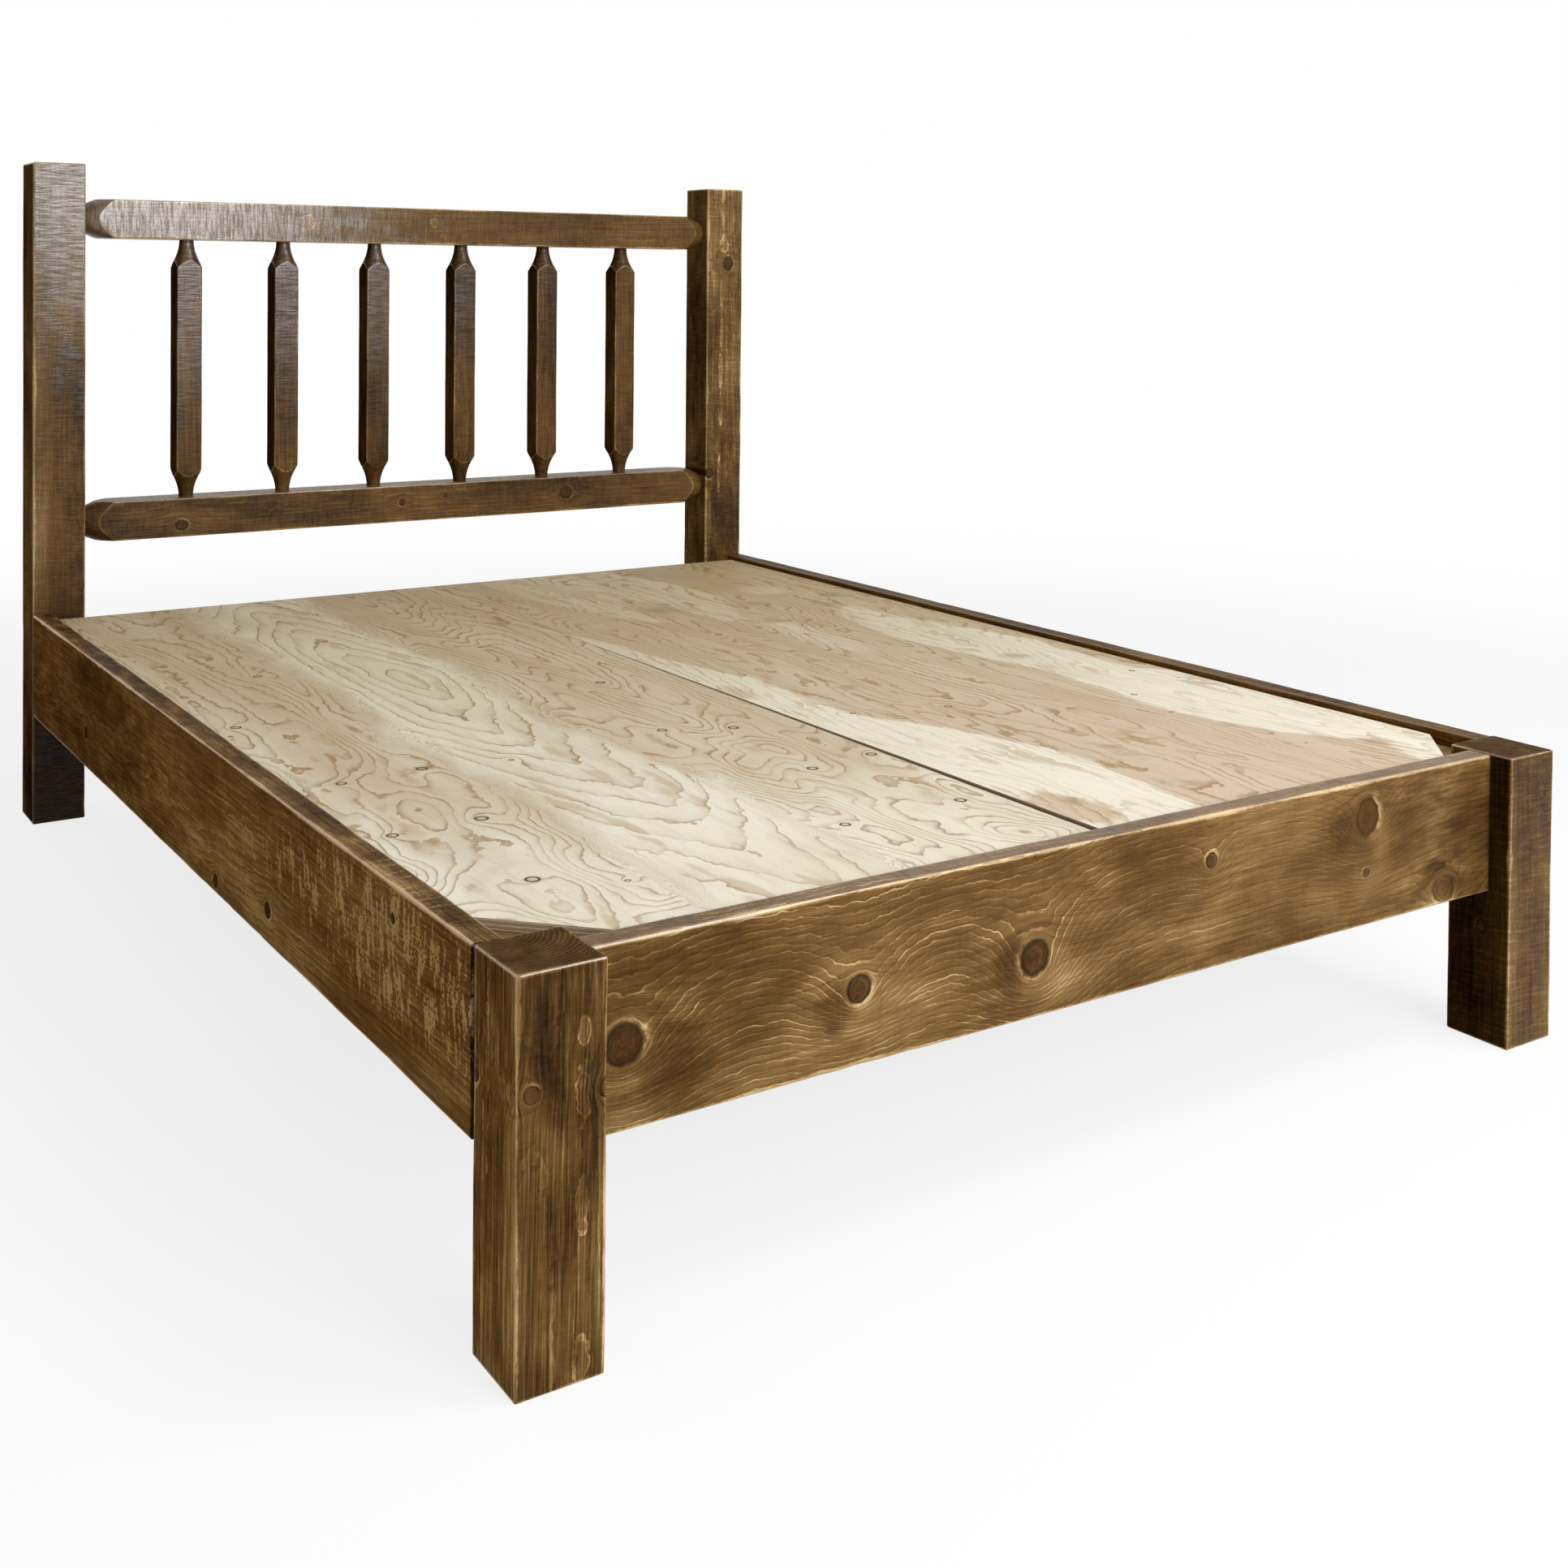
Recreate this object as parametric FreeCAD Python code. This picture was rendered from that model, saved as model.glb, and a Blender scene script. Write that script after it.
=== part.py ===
import FreeCAD, Part
import os

Vector = FreeCAD.Vector

# Rustic platform bed: square posts, a headboard of cove-turned spindles, hook-on side rails,
# a slatted frame with a centre beam on two legs, and two loose plywood panels to lie on.
# Millimetres. The foot of the bed is towards -Y and its head towards +Y, with +Z up.
# The origin lies on the floor under the middle of the bed.

# Mattress that the frame takes, and the play left round it
mattress_width = 1524.0
mattress_length = 2032.0
mattress_play = 13.0

# Posts
post_side = 96.5
foot_post_height = 405.0
head_post_height = 1268.0
post_ease = 2.0

# Side rails, flush with the outer faces of the posts
side_rail_thickness = 34.0
side_rail_height = 193.0
rail_drop = 2.0
rail_ease = 1.5

# Foot rail, tenoned between the foot posts behind their front faces
foot_rail_thickness = 33.0
foot_rail_height = 190.0
foot_rail_setback = 33.0

# Cross rail under the deck, tenoned between the head posts
cross_rail_thickness = 33.0
cross_rail_height = 140.0
cross_rail_setback = 12.0

# Stub tenons of the foot rail and the cross rail
stub_thickness = 13.0
stub_length = 30.0
stub_shoulder = 18.0

# Headboard rails: square bars with cove-turned ends and round tenons
board_rail_side = 77.0
bottom_rail_centre_height = 571.0
top_rail_centre_height = 1163.5
board_rail_neck_radius = 27.0
board_rail_cove_length = 58.0
board_rail_cove_sag = 1.8
board_rail_tenon = 45.0

# Spindles, turned at both ends in the same way
spindle_count = 6
spindle_side = 50.0
spindle_pitch = 199.5
spindle_neck_radius = 14.0
spindle_cove_length = 56.0
spindle_cove_sag = 5.5
spindle_tenon = 32.0
cove_overrun = 0.6
cove_chord_count = 2

# Loose play of a joint, all round
fit = 0.15

# Slatted frame under the deck
slat_count = 8
slat_thickness = 19.0
slat_width = 89.0
slat_end_play = 1.0
slat_post_gap = 3.0
slat_head_gap = 28.0
slat_ease = 1.0
ledger_width = 35.0
ledger_height = 38.0
ledger_end_gap = 6.0
beam_thickness = 38.0
beam_height = 89.0
beam_end_play = 2.0
cradle_width = 96.0
cradle_thickness = 30.0
cradle_floor = 22.0
cradle_play = 0.5

# Centre legs, forked over the beam
leg_side = 64.0
leg_cheek_height = 60.0
leg_pad_side = 50.0
leg_pad_thickness = 5.0
leg_place_shares = (0.33, 0.67)

# Plywood deck in two loose panels, with a seam that narrows towards the head
deck_thickness = 12.0
deck_recess = 9.0
deck_side_gap = 2.5
deck_foot_gap = 3.0
deck_head_gap = 20.0
seam_offset = 10.0
seam_gap_foot = 17.0
seam_gap_head = 3.0
clip_left = 132.0
clip_right = 106.0

# Hook plates on the ends of the side rails, and slotted plates let into the posts
hook_plate_thickness = 2.5
slot_plate_thickness = 3.0
plate_width = 20.0
plate_height = 130.0
hook_thickness = 3.0
hook_neck_height = 18.0
hook_lip_drop = 8.0
hook_lip_depth = 4.0
hook_spacing = 54.0
hook_side_play = 0.75
hook_lift_play = 1.0
pocket_play = 2.0

# Margin by which a cutting shape runs past what it cuts
overrun = 5.0

# Places that follow from the sizes above
inner_width = mattress_width + mattress_play
inner_length = mattress_length + mattress_play
bed_width = inner_width + 2 * side_rail_thickness
head_face = foot_rail_setback + foot_rail_thickness + inner_length
bed_length = head_face + post_side
right_face = bed_width / 2
left_face = -right_face
foot_end = -bed_length / 2
head_front = foot_end + head_face
foot_back = foot_end + post_side
rail_top = foot_post_height - rail_drop
deck_top = rail_top - deck_recess
deck_under = deck_top - deck_thickness
slat_under = deck_under - slat_thickness
beam_under = slat_under - beam_height
foot_rail_front = foot_end + foot_rail_setback
foot_rail_back = foot_rail_front + foot_rail_thickness
cross_rail_front = head_front + cross_rail_setback
board_axis_y = head_front + post_side / 2
hook_plate_centre = rail_top - side_rail_height / 2
sides = (("left", -1), ("right", 1))


def block(x0, x1, y0, y1, z0, z1):
    """A box between two corners, given in any order along each axis."""
    low = Vector(min(x0, x1), min(y0, y1), min(z0, z1))
    return Part.makeBox(abs(x1 - x0), abs(y1 - y0), abs(z1 - z0), low)


def edges_along(solid, direction):
    """The straight edges of a solid that run along a direction."""
    found = []
    for edge in solid.Edges:
        run = edge.Vertexes[-1].Point - edge.Vertexes[0].Point
        if run.Length > 0 and run.cross(direction).Length < run.Length / 1000:
            found.append(edge)
    return found


def eased(solid, direction, size):
    """Take the sharpness off the arrises of a bar that run along its length."""
    return solid.makeChamfer(size, edges_along(solid, direction))


def revolved(outline):
    """Turn an outline of edges in the XZ plane once round the Z axis."""
    face = Part.Face(Part.Wire(outline))
    return face.revolve(Vector(0, 0, 0), Vector(0, 0, 1), 360)


def lines(points):
    """Straight edges through points given as radius and height."""
    ends = [Vector(radius, 0, height) for radius, height in points]
    return [Part.makeLine(a, b) for a, b in zip(ends, ends[1:])]


def cove(start, end, sag):
    """Points along a hollow arc between two points, the lower first, given as radius and height."""
    a, b = Vector(start[0], 0, start[1]), Vector(end[0], 0, end[1])
    chord = b - a
    inward = Vector(-chord.z, 0, chord.x).normalize()
    arc = Part.Arc(a, (a + b) / 2 + inward * sag, b)
    return [(p.x, p.z) for p in arc.discretize(cove_chord_count + 1)]


def turned_bar(side, length, neck_radius, cove_length, sag, tenon):
    """A square bar along Z, with coves turned at both ends down to round tenons.

    Length is the bare length between the pieces that the tenons enter, from z = 0 up.
    """
    corner = side / 2 ** 0.5 + cove_overrun
    low, high = -tenon, length + tenon
    outline = [(0, low), (neck_radius, low)]
    outline += cove((neck_radius, 0), (corner, cove_length), sag)
    outline += cove((corner, length - cove_length), (neck_radius, length), sag)
    outline += [(neck_radius, high), (0, high), (0, low)]
    bar = block(-side / 2, side / 2, -side / 2, side / 2, low, high)
    return bar.common(revolved(lines(outline)))


def along_x(shape):
    """Lay a shape made along Z so that it runs along X."""
    shape = shape.copy()
    shape.rotate(Vector(0, 0, 0), Vector(0, 1, 0), 90)
    return shape


def moved(shape, x, y, z):
    """A copy of a shape at another place."""
    shape = shape.copy()
    shape.translate(Vector(x, y, z))
    return shape


def mortise(radius, depth):
    """The round hole, along Z from z = 0 up, that a tenon of this radius enters."""
    return Part.makeCylinder(radius + fit, depth)


def board_rail_length():
    """Bare length of a headboard rail between the head posts."""
    return bed_width - 2 * post_side


def spindle_places():
    """X of each spindle's axis, spread evenly about the middle."""
    first = -spindle_pitch * (spindle_count - 1) / 2
    return [first + spindle_pitch * i for i in range(spindle_count)]


def slat_places():
    """Y of the middle of each slat, from the foot to the head."""
    first = foot_back + slat_post_gap + slat_width / 2
    last = head_front - slat_head_gap - slat_width / 2
    step = (last - first) / (slat_count - 1)
    return [first + step * i for i in range(slat_count)]


def leg_places():
    """Y of each centre leg."""
    return [foot_rail_back + inner_length * share for share in leg_place_shares]


def hook_bottoms():
    """Height of the underside of each hook's neck, where it bears in its slot."""
    return [hook_plate_centre + hook_spacing * k / 2 - hook_neck_height / 2 for k in (-1, 1)]


def rail_ends():
    """Each end of the side rails: rail centre X, face of the post, and the way into the post."""
    inset = side_rail_thickness / 2
    return [(side * (right_face - inset), face, way)
            for _, side in sides for face, way in ((foot_back, -1), (head_front, 1))]


def hook_plate(x, face, way):
    """The plate on a rail's end, with two hooks that drop into the slots of the post's plate."""
    back = face - way * hook_plate_thickness
    low, high = hook_plate_centre - plate_height / 2, hook_plate_centre + plate_height / 2
    plate = block(x - plate_width / 2, x + plate_width / 2, back, face, low, high)
    neck_end = face + way * (slot_plate_thickness + fit)
    lip_end = neck_end + way * hook_lip_depth
    for bottom in hook_bottoms():
        x0, x1 = x - hook_thickness / 2, x + hook_thickness / 2
        neck = block(x0, x1, back, lip_end, bottom, bottom + hook_neck_height)
        lip = block(x0, x1, neck_end, lip_end, bottom - hook_lip_drop, bottom + hook_neck_height)
        plate = plate.fuse(neck).fuse(lip)
    return plate.removeSplitter()


def slot_plate(x, face, way):
    """The plate let into a post, flush with its face, with a slot for each hook."""
    low, high = hook_plate_centre - plate_height / 2, hook_plate_centre + plate_height / 2
    plate = block(x - plate_width / 2, x + plate_width / 2, face, face + way * slot_plate_thickness, low, high)
    reach = hook_thickness / 2 + hook_side_play
    for bottom in hook_bottoms():
        top = bottom + hook_neck_height + hook_lip_drop + hook_lift_play
        plate = plate.cut(block(x - reach, x + reach, face - way * overrun, face + way * overrun, bottom, top))
    return plate


def post_pocket(x, face, way):
    """What is cut out of a post for its slotted plate and the hooks behind it."""
    low, high = hook_plate_centre - plate_height / 2, hook_plate_centre + plate_height / 2
    half = plate_width / 2
    seat = block(x - half, x + half, face - way * overrun, face + way * slot_plate_thickness, low, high)
    reach = hook_thickness / 2 + hook_side_play + pocket_play
    depth = slot_plate_thickness + fit + hook_lip_depth + pocket_play
    for bottom in hook_bottoms():
        top = bottom + hook_neck_height + hook_lip_drop + hook_lift_play + pocket_play
        floor = bottom - hook_lip_drop - pocket_play
        seat = seat.fuse(block(x - reach, x + reach, face, face + way * depth, floor, top))
    return seat


def post(x0, y0, height):
    """A square post with its upright arrises and its top edges worn round."""
    solid = block(x0, x0 + post_side, y0, y0 + post_side, 0, height)
    rim = [e for e in solid.Edges if all(v.Z > height / 2 for v in e.Vertexes)]
    return solid.makeChamfer(post_ease, edges_along(solid, Vector(0, 0, 1)) + rim)


def stub_mortise(side, y0, thickness, top, height):
    """The mortise for a stub tenon in the inner face of the post on one side."""
    middle = y0 + thickness / 2
    reach = stub_thickness / 2 + fit
    face = side * (right_face - post_side)
    low, high = top - height + stub_shoulder - fit, top - stub_shoulder + fit
    return block(face - side * overrun, face + side * stub_length, middle - reach, middle + reach, low, high)


def posts():
    """Foot posts and head posts, with every mortise and plate seat."""
    made = {}
    for name, side in sides:
        x0 = left_face if side < 0 else right_face - post_side
        x_rail = side * (right_face - side_rail_thickness / 2)
        foot = post(x0, foot_end, foot_post_height)
        foot = foot.cut(stub_mortise(side, foot_rail_front, foot_rail_thickness, rail_top, foot_rail_height))
        foot = foot.cut(post_pocket(x_rail, foot_back, -1))
        head = post(x0, head_front, head_post_height)
        head = head.cut(stub_mortise(side, cross_rail_front, cross_rail_thickness, deck_under, cross_rail_height))
        head = head.cut(post_pocket(x_rail, head_front, 1))
        hole = along_x(mortise(board_rail_neck_radius, board_rail_tenon))
        if side < 0:
            hole.rotate(Vector(0, 0, 0), Vector(0, 0, 1), 180)
        for height in (bottom_rail_centre_height, top_rail_centre_height):
            head = head.cut(moved(hole, side * (right_face - post_side), board_axis_y, height))
        made["foot_post_" + name] = foot
        made["head_post_" + name] = head
    return made


def board_rails():
    """The two rails of the headboard, bored for the spindles."""
    length = board_rail_length()
    bar = turned_bar(board_rail_side, length, board_rail_neck_radius, board_rail_cove_length,
                     board_rail_cove_sag, board_rail_tenon)
    bar = moved(along_x(bar), -length / 2, board_axis_y, 0)
    hole = mortise(spindle_neck_radius, spindle_tenon)
    bottom = moved(bar, 0, 0, bottom_rail_centre_height)
    top = moved(bar, 0, 0, top_rail_centre_height)
    for x in spindle_places():
        up = bottom_rail_centre_height + board_rail_side / 2
        down = top_rail_centre_height - board_rail_side / 2
        bottom = bottom.cut(moved(hole, x, board_axis_y, up - spindle_tenon))
        top = top.cut(moved(hole, x, board_axis_y, down))
    return {"headboard_bottom_rail": bottom, "headboard_top_rail": top}


def spindles():
    """Six square spindles with coved ends."""
    low = bottom_rail_centre_height + board_rail_side / 2
    high = top_rail_centre_height - board_rail_side / 2
    bar = turned_bar(spindle_side, high - low, spindle_neck_radius, spindle_cove_length,
                     spindle_cove_sag, spindle_tenon)
    return {"spindle_%d" % (i + 1): moved(bar, x, board_axis_y, low) for i, x in enumerate(spindle_places())}


def stubbed_rail(y0, thickness, top, height):
    """A rail between two posts, with a stub tenon at each end."""
    half = right_face - post_side
    rail = eased(block(-half, half, y0, y0 + thickness, top - height, top), Vector(1, 0, 0), rail_ease)
    middle = y0 + thickness / 2
    low, high = top - height + stub_shoulder, top - stub_shoulder
    reach = half + stub_length
    tenons = block(-reach, reach, middle - stub_thickness / 2, middle + stub_thickness / 2, low, high)
    return rail.fuse(tenons).removeSplitter()


def cross_rails():
    """The foot rail and the hidden rail between the head posts."""
    foot = stubbed_rail(foot_rail_front, foot_rail_thickness, rail_top, foot_rail_height)
    head = stubbed_rail(cross_rail_front, cross_rail_thickness, deck_under, cross_rail_height)
    return {"foot_rail": foot, "head_cross_rail": head}


def side_rails():
    """The side rails, which stop short of the posts by the thickness of their hook plates."""
    made = {}
    y0, y1 = foot_back + hook_plate_thickness, head_front - hook_plate_thickness
    for name, side in sides:
        outer, inner = side * right_face, side * (right_face - side_rail_thickness)
        rail = block(outer, inner, y0, y1, rail_top - side_rail_height, rail_top)
        made["side_rail_" + name] = eased(rail, Vector(0, 1, 0), rail_ease)
    return made


def ledgers():
    """A strip along the inner face of each side rail, which carries the slats."""
    made = {}
    y0, y1 = foot_back + ledger_end_gap, head_front - ledger_end_gap
    for name, side in sides:
        outer = side * (right_face - side_rail_thickness)
        strip = block(outer, outer - side * ledger_width, y0, y1, slat_under - ledger_height, slat_under)
        made["ledger_" + name] = strip
    return made


def slats():
    """Eight slats across the bed, on the ledgers and the centre beam."""
    made = {}
    half = right_face - side_rail_thickness - slat_end_play
    for i, y in enumerate(slat_places()):
        slat = block(-half, half, y - slat_width / 2, y + slat_width / 2, slat_under, deck_under)
        made["slat_%d" % (i + 1)] = eased(slat, Vector(1, 0, 0), slat_ease)
    return made


def centre_beam():
    """The beam under the middle of the slats, from cradle to cradle."""
    half = beam_thickness / 2
    y0, y1 = foot_rail_back + beam_end_play, cross_rail_front - beam_end_play
    return {"centre_beam": eased(block(-half, half, y0, y1, beam_under, slat_under), Vector(0, 1, 0), slat_ease)}


def cradles():
    """U-shaped blocks on the foot rail and the cross rail, open at the top for the beam."""
    made = {}
    half = beam_thickness / 2 + cradle_play
    for name, end in (("foot", -1), ("head", 1)):
        face = foot_rail_back if end < 0 else cross_rail_front
        low = beam_under - cradle_floor
        body = block(-cradle_width / 2, cradle_width / 2, face, face - end * cradle_thickness, low, slat_under)
        slot = block(-half, half, face + end * overrun, face - end * (cradle_thickness + overrun),
                     beam_under, slat_under + overrun)
        made["beam_cradle_" + name] = body.cut(slot)
    return made


def centre_legs():
    """Two square legs, each forked at the top over the beam, with a felt pad under it."""
    made, pads = {}, []
    half = leg_side / 2
    slot_half = beam_thickness / 2 + fit
    for name, y in zip(("foot", "head"), leg_places()):
        top = beam_under + leg_cheek_height
        leg = eased(block(-half, half, y - half, y + half, leg_pad_thickness, top), Vector(0, 0, 1), rail_ease)
        slot = block(-slot_half, slot_half, y - leg_side, y + leg_side, beam_under, top + overrun)
        made["centre_leg_" + name] = leg.cut(slot)
        pads.append(block(-leg_pad_side / 2, leg_pad_side / 2, y - leg_pad_side / 2, y + leg_pad_side / 2,
                          0, leg_pad_thickness))
    made["leg_pads"] = Part.makeCompound(pads)
    return made


def deck_panels():
    """Two loose plywood panels, their foot corners clipped to pass the foot posts."""
    foot, head = foot_rail_back + deck_foot_gap, head_front - deck_head_gap
    made = {}
    for (name, side), clip in zip(sides, (clip_left, clip_right)):
        outer = side * (right_face - side_rail_thickness - deck_side_gap)
        seam_foot = seam_offset + side * seam_gap_foot / 2
        seam_head = seam_offset + side * seam_gap_head / 2
        corners = [(seam_foot, foot), (outer - side * clip, foot), (outer, foot + clip), (outer, head),
                   (seam_head, head), (seam_foot, foot)]
        outline = Part.makePolygon([Vector(x, y, deck_under) for x, y in corners])
        made["deck_panel_" + name] = Part.Face(outline).extrude(Vector(0, 0, deck_thickness))
    return made


def rail_plates():
    """Hook plates and slotted plates, each kind as a group."""
    return {"rail_hook_plates": Part.makeCompound([hook_plate(*end) for end in rail_ends()]),
            "post_slot_plates": Part.makeCompound([slot_plate(*end) for end in rail_ends()])}


def build():
    """Every piece of the bed by its name."""
    pieces = {}
    for group in (posts, board_rails, spindles, cross_rails, side_rails, ledgers, slats, centre_beam,
                  cradles, centre_legs, deck_panels, rail_plates):
        pieces.update(group())
    return pieces


os.makedirs("parts", exist_ok=True)
for piece_name, piece in build().items():
    piece.exportStep("parts/" + piece_name + ".step")
    print(piece_name, len(piece.Solids), "solids", round(piece.Volume), piece.isValid())
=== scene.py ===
import math

import bmesh
import bpy
import numpy as np
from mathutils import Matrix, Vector, noise


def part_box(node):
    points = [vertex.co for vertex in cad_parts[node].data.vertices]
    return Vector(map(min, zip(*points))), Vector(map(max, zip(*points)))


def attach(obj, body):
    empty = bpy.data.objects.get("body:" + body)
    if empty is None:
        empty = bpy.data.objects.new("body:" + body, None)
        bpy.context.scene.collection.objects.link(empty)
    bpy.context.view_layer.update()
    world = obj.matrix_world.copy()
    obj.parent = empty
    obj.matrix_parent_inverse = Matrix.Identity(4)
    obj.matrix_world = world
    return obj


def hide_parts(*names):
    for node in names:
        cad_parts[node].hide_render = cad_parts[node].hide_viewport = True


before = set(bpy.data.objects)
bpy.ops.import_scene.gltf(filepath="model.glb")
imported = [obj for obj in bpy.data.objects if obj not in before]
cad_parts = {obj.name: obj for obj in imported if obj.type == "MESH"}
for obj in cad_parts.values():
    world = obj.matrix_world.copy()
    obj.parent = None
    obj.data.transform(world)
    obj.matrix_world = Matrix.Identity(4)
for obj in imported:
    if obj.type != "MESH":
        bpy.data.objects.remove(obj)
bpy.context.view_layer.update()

bl_info = {
    "name": "Rustic Platform Bed",
    "version": (1, 0, 0),
    "blender": (4, 5, 0),
    "location": "View3D > Sidebar > Bed",
    "description": "Dresses the platform bed: hewn timbers, coved headboard, plywood deck, slats and fixings",
    "category": "Object",
}

# Mesh attributes: how worn a vertex is, a copy's own shift of the figure, and the way that a fixing points
ARRIS = "arris"
SHIFT = "figure_shift"
WAY = "way"

# Turns that lay an object's own axes so that the grain runs along Z
GRAIN_TURN = {"X": (0.0, math.radians(-90), 0.0), "Y": (math.radians(90), 0.0, 0.0), "Z": (0.0, 0.0, 0.0)}
AXIS_INDEX = {"X": 0, "Y": 1, "Z": 2}

ORIGIN = (0.0, 0.0, 0.0)
WHITE = (1.0, 1.0, 1.0, 1.0)
FLOAT, VECTOR = "NodeSocketFloat", "NodeSocketVector"


class BedTimberSettings(bpy.types.PropertyGroup):
    """Sizes and colours of the hewn timbers."""

    arris: bpy.props.FloatProperty(
        name="Worn arris", description="Usual radius of a worn arris", default=0.0026, min=0.0005, max=0.008,
        subtype="DISTANCE", unit="LENGTH")
    unevenness: bpy.props.FloatProperty(
        name="Unevenness", description="How far a hewn face swells and dips", default=0.00045, min=0.0,
        max=0.002, subtype="DISTANCE", unit="LENGTH")
    ring_step: bpy.props.FloatProperty(
        name="Ring step", description="Distance from one growth ring to the next", default=0.0055, min=0.001,
        max=0.02, subtype="DISTANCE", unit="LENGTH")
    saw_pitch: bpy.props.FloatProperty(
        name="Saw pitch", description="Distance from one saw mark to the next", default=0.0021, min=0.0005,
        max=0.01, subtype="DISTANCE", unit="LENGTH")
    stain_deep: bpy.props.FloatVectorProperty(
        name="Deep stain", description="Stain in pores, checks and the darkest patches",
        default=(0.014, 0.006, 0.002), min=0.0, max=1.0, size=3, subtype="COLOR")
    stain_dark: bpy.props.FloatVectorProperty(
        name="Dark stain", description="Stain where the wood has drunk most of it",
        default=(0.050, 0.0235, 0.0058), min=0.0, max=1.0, size=3, subtype="COLOR")
    stain_mid: bpy.props.FloatVectorProperty(
        name="Middle stain", description="Usual colour of the stained wood", default=(0.120, 0.0625, 0.0175),
        min=0.0, max=1.0, size=3, subtype="COLOR")
    stain_gold: bpy.props.FloatVectorProperty(
        name="Golden stain", description="Patches that have taken less stain", default=(0.235, 0.140, 0.051),
        min=0.0, max=1.0, size=3, subtype="COLOR")
    late_wood: bpy.props.FloatVectorProperty(
        name="Late wood", description="Hard rings and worn arrises that have taken little stain",
        default=(0.56, 0.395, 0.190), min=0.0, max=1.0, size=3, subtype="COLOR")
    knot_heart: bpy.props.FloatVectorProperty(
        name="Knot heart", description="Heart of a knot", default=(0.078, 0.031, 0.0090),
        min=0.0, max=1.0, size=3, subtype="COLOR")


class BedDeckSettings(bpy.types.PropertyGroup):
    """Sizes and colours of the plywood deck."""

    ply_count: bpy.props.IntProperty(
        name="Plies", description="Number of plies in a panel", default=5, min=3, max=13)
    edge_ease: bpy.props.FloatProperty(
        name="Edge ease", description="Radius of the panel's edges", default=0.0007, min=0.0001, max=0.003,
        subtype="DISTANCE", unit="LENGTH")
    sapwood: bpy.props.FloatVectorProperty(
        name="Sapwood", description="Palest veneer", default=(0.82, 0.765, 0.635), min=0.0, max=1.0, size=3,
        subtype="COLOR")
    heartwood: bpy.props.FloatVectorProperty(
        name="Heartwood", description="Tan veneer", default=(0.585, 0.468, 0.322), min=0.0, max=1.0, size=3,
        subtype="COLOR")
    figure: bpy.props.FloatVectorProperty(
        name="Figure", description="Lines of late wood in the veneer", default=(0.36, 0.235, 0.112), min=0.0,
        max=1.0, size=3, subtype="COLOR")


class BedStageSettings(bpy.types.PropertyGroup):
    """Light and camera."""

    key_power: bpy.props.FloatProperty(
        name="Key power", description="Power of the large soft lamp behind the camera", default=150.0,
        min=0.0, unit="POWER")
    edge_power: bpy.props.FloatProperty(
        name="Edge power", description="Power of the lamp that draws the arrises", default=60.0, min=0.0,
        unit="POWER")
    fill: bpy.props.FloatProperty(
        name="Fill", description="Strength of the even light from all round", default=0.44, min=0.0, max=2.0)
    lens: bpy.props.FloatProperty(
        name="Lens", description="Focal length of the camera in millimetres", default=41.7607, min=10.0,
        max=200.0)


# Node helpers


class Field:
    """A value that changes over a surface or from copy to copy: one output of a node. Plain sums on it
    add the nodes that do them."""

    def __init__(self, socket):
        self.socket = socket
        self.tree = socket.id_data

    def __add__(self, other):
        return calc("ADD", self, other)

    def __radd__(self, other):
        return calc("ADD", other, self)

    def __sub__(self, other):
        return calc("SUBTRACT", self, other)

    def __rsub__(self, other):
        return calc("SUBTRACT", other, self)

    def __mul__(self, other):
        return calc("MULTIPLY", self, other)

    def __rmul__(self, other):
        return calc("MULTIPLY", other, self)

    def __truediv__(self, other):
        return calc("DIVIDE", self, other)

    def __rtruediv__(self, other):
        return calc("DIVIDE", other, self)

    def __mod__(self, other):
        return calc("MODULO", self, other)

    def __pow__(self, other):
        return calc("POWER", self, other)

    def __abs__(self):
        return calc("ABSOLUTE", self)


def put(socket, value):
    """Link a socket to a field or to another socket, or set its value."""
    source = value.socket if isinstance(value, Field) else value
    if isinstance(source, bpy.types.NodeSocket):
        socket.id_data.links.new(source, socket)
    else:
        socket.default_value = source


def add(tree, kind, values=None, **settings):
    """Add a node with its settings and input values."""
    made = tree.nodes.new(kind)
    for key, value in settings.items():
        setattr(made, key, value)
    for key, value in (values or {}).items():
        put(made.inputs[key], value)
    return made


def field(tree, kind, values=None, output=0, **settings):
    """Add a node and give one of its outputs as a field."""
    return Field(add(tree, kind, values, **settings).outputs[output])


def calc(operation, *values):
    """A node that does one sum: on vectors where one of the values is a vector, else on numbers."""
    fields = [value for value in values if isinstance(value, Field)]
    on_vectors = any(isinstance(value, tuple) for value in values) or any(
        one.socket.type == "VECTOR" for one in fields)
    kind = "ShaderNodeVectorMath" if on_vectors else "ShaderNodeMath"
    gives_vector = on_vectors and operation not in ("LENGTH", "DOT_PRODUCT")
    return field(fields[0].tree, kind, dict(enumerate(values)), "Vector" if gives_vector else "Value",
                 operation=operation)


def larger(a, b):
    """The larger of two values."""
    return calc("MAXIMUM", a, b)


def smaller(a, b):
    """The smaller of two values."""
    return calc("MINIMUM", a, b)


def whole(value):
    """The whole part of a value."""
    return calc("FLOOR", value)


def fraction(value):
    """What is left of a value above its whole part."""
    return calc("FRACT", value)


def root(value):
    """The square root of a value."""
    return calc("SQRT", value)


def length_of(vector):
    """The length of a vector."""
    return calc("LENGTH", vector)


def along(vector, direction):
    """How far a vector goes along a direction."""
    return calc("DOT_PRODUCT", vector, direction)


def lengthened(vector, amount):
    """A vector made longer by an amount."""
    values = {0: vector, "Scale": amount}
    return field(vector.tree, "ShaderNodeVectorMath", values, "Vector", operation="SCALE")


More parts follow.
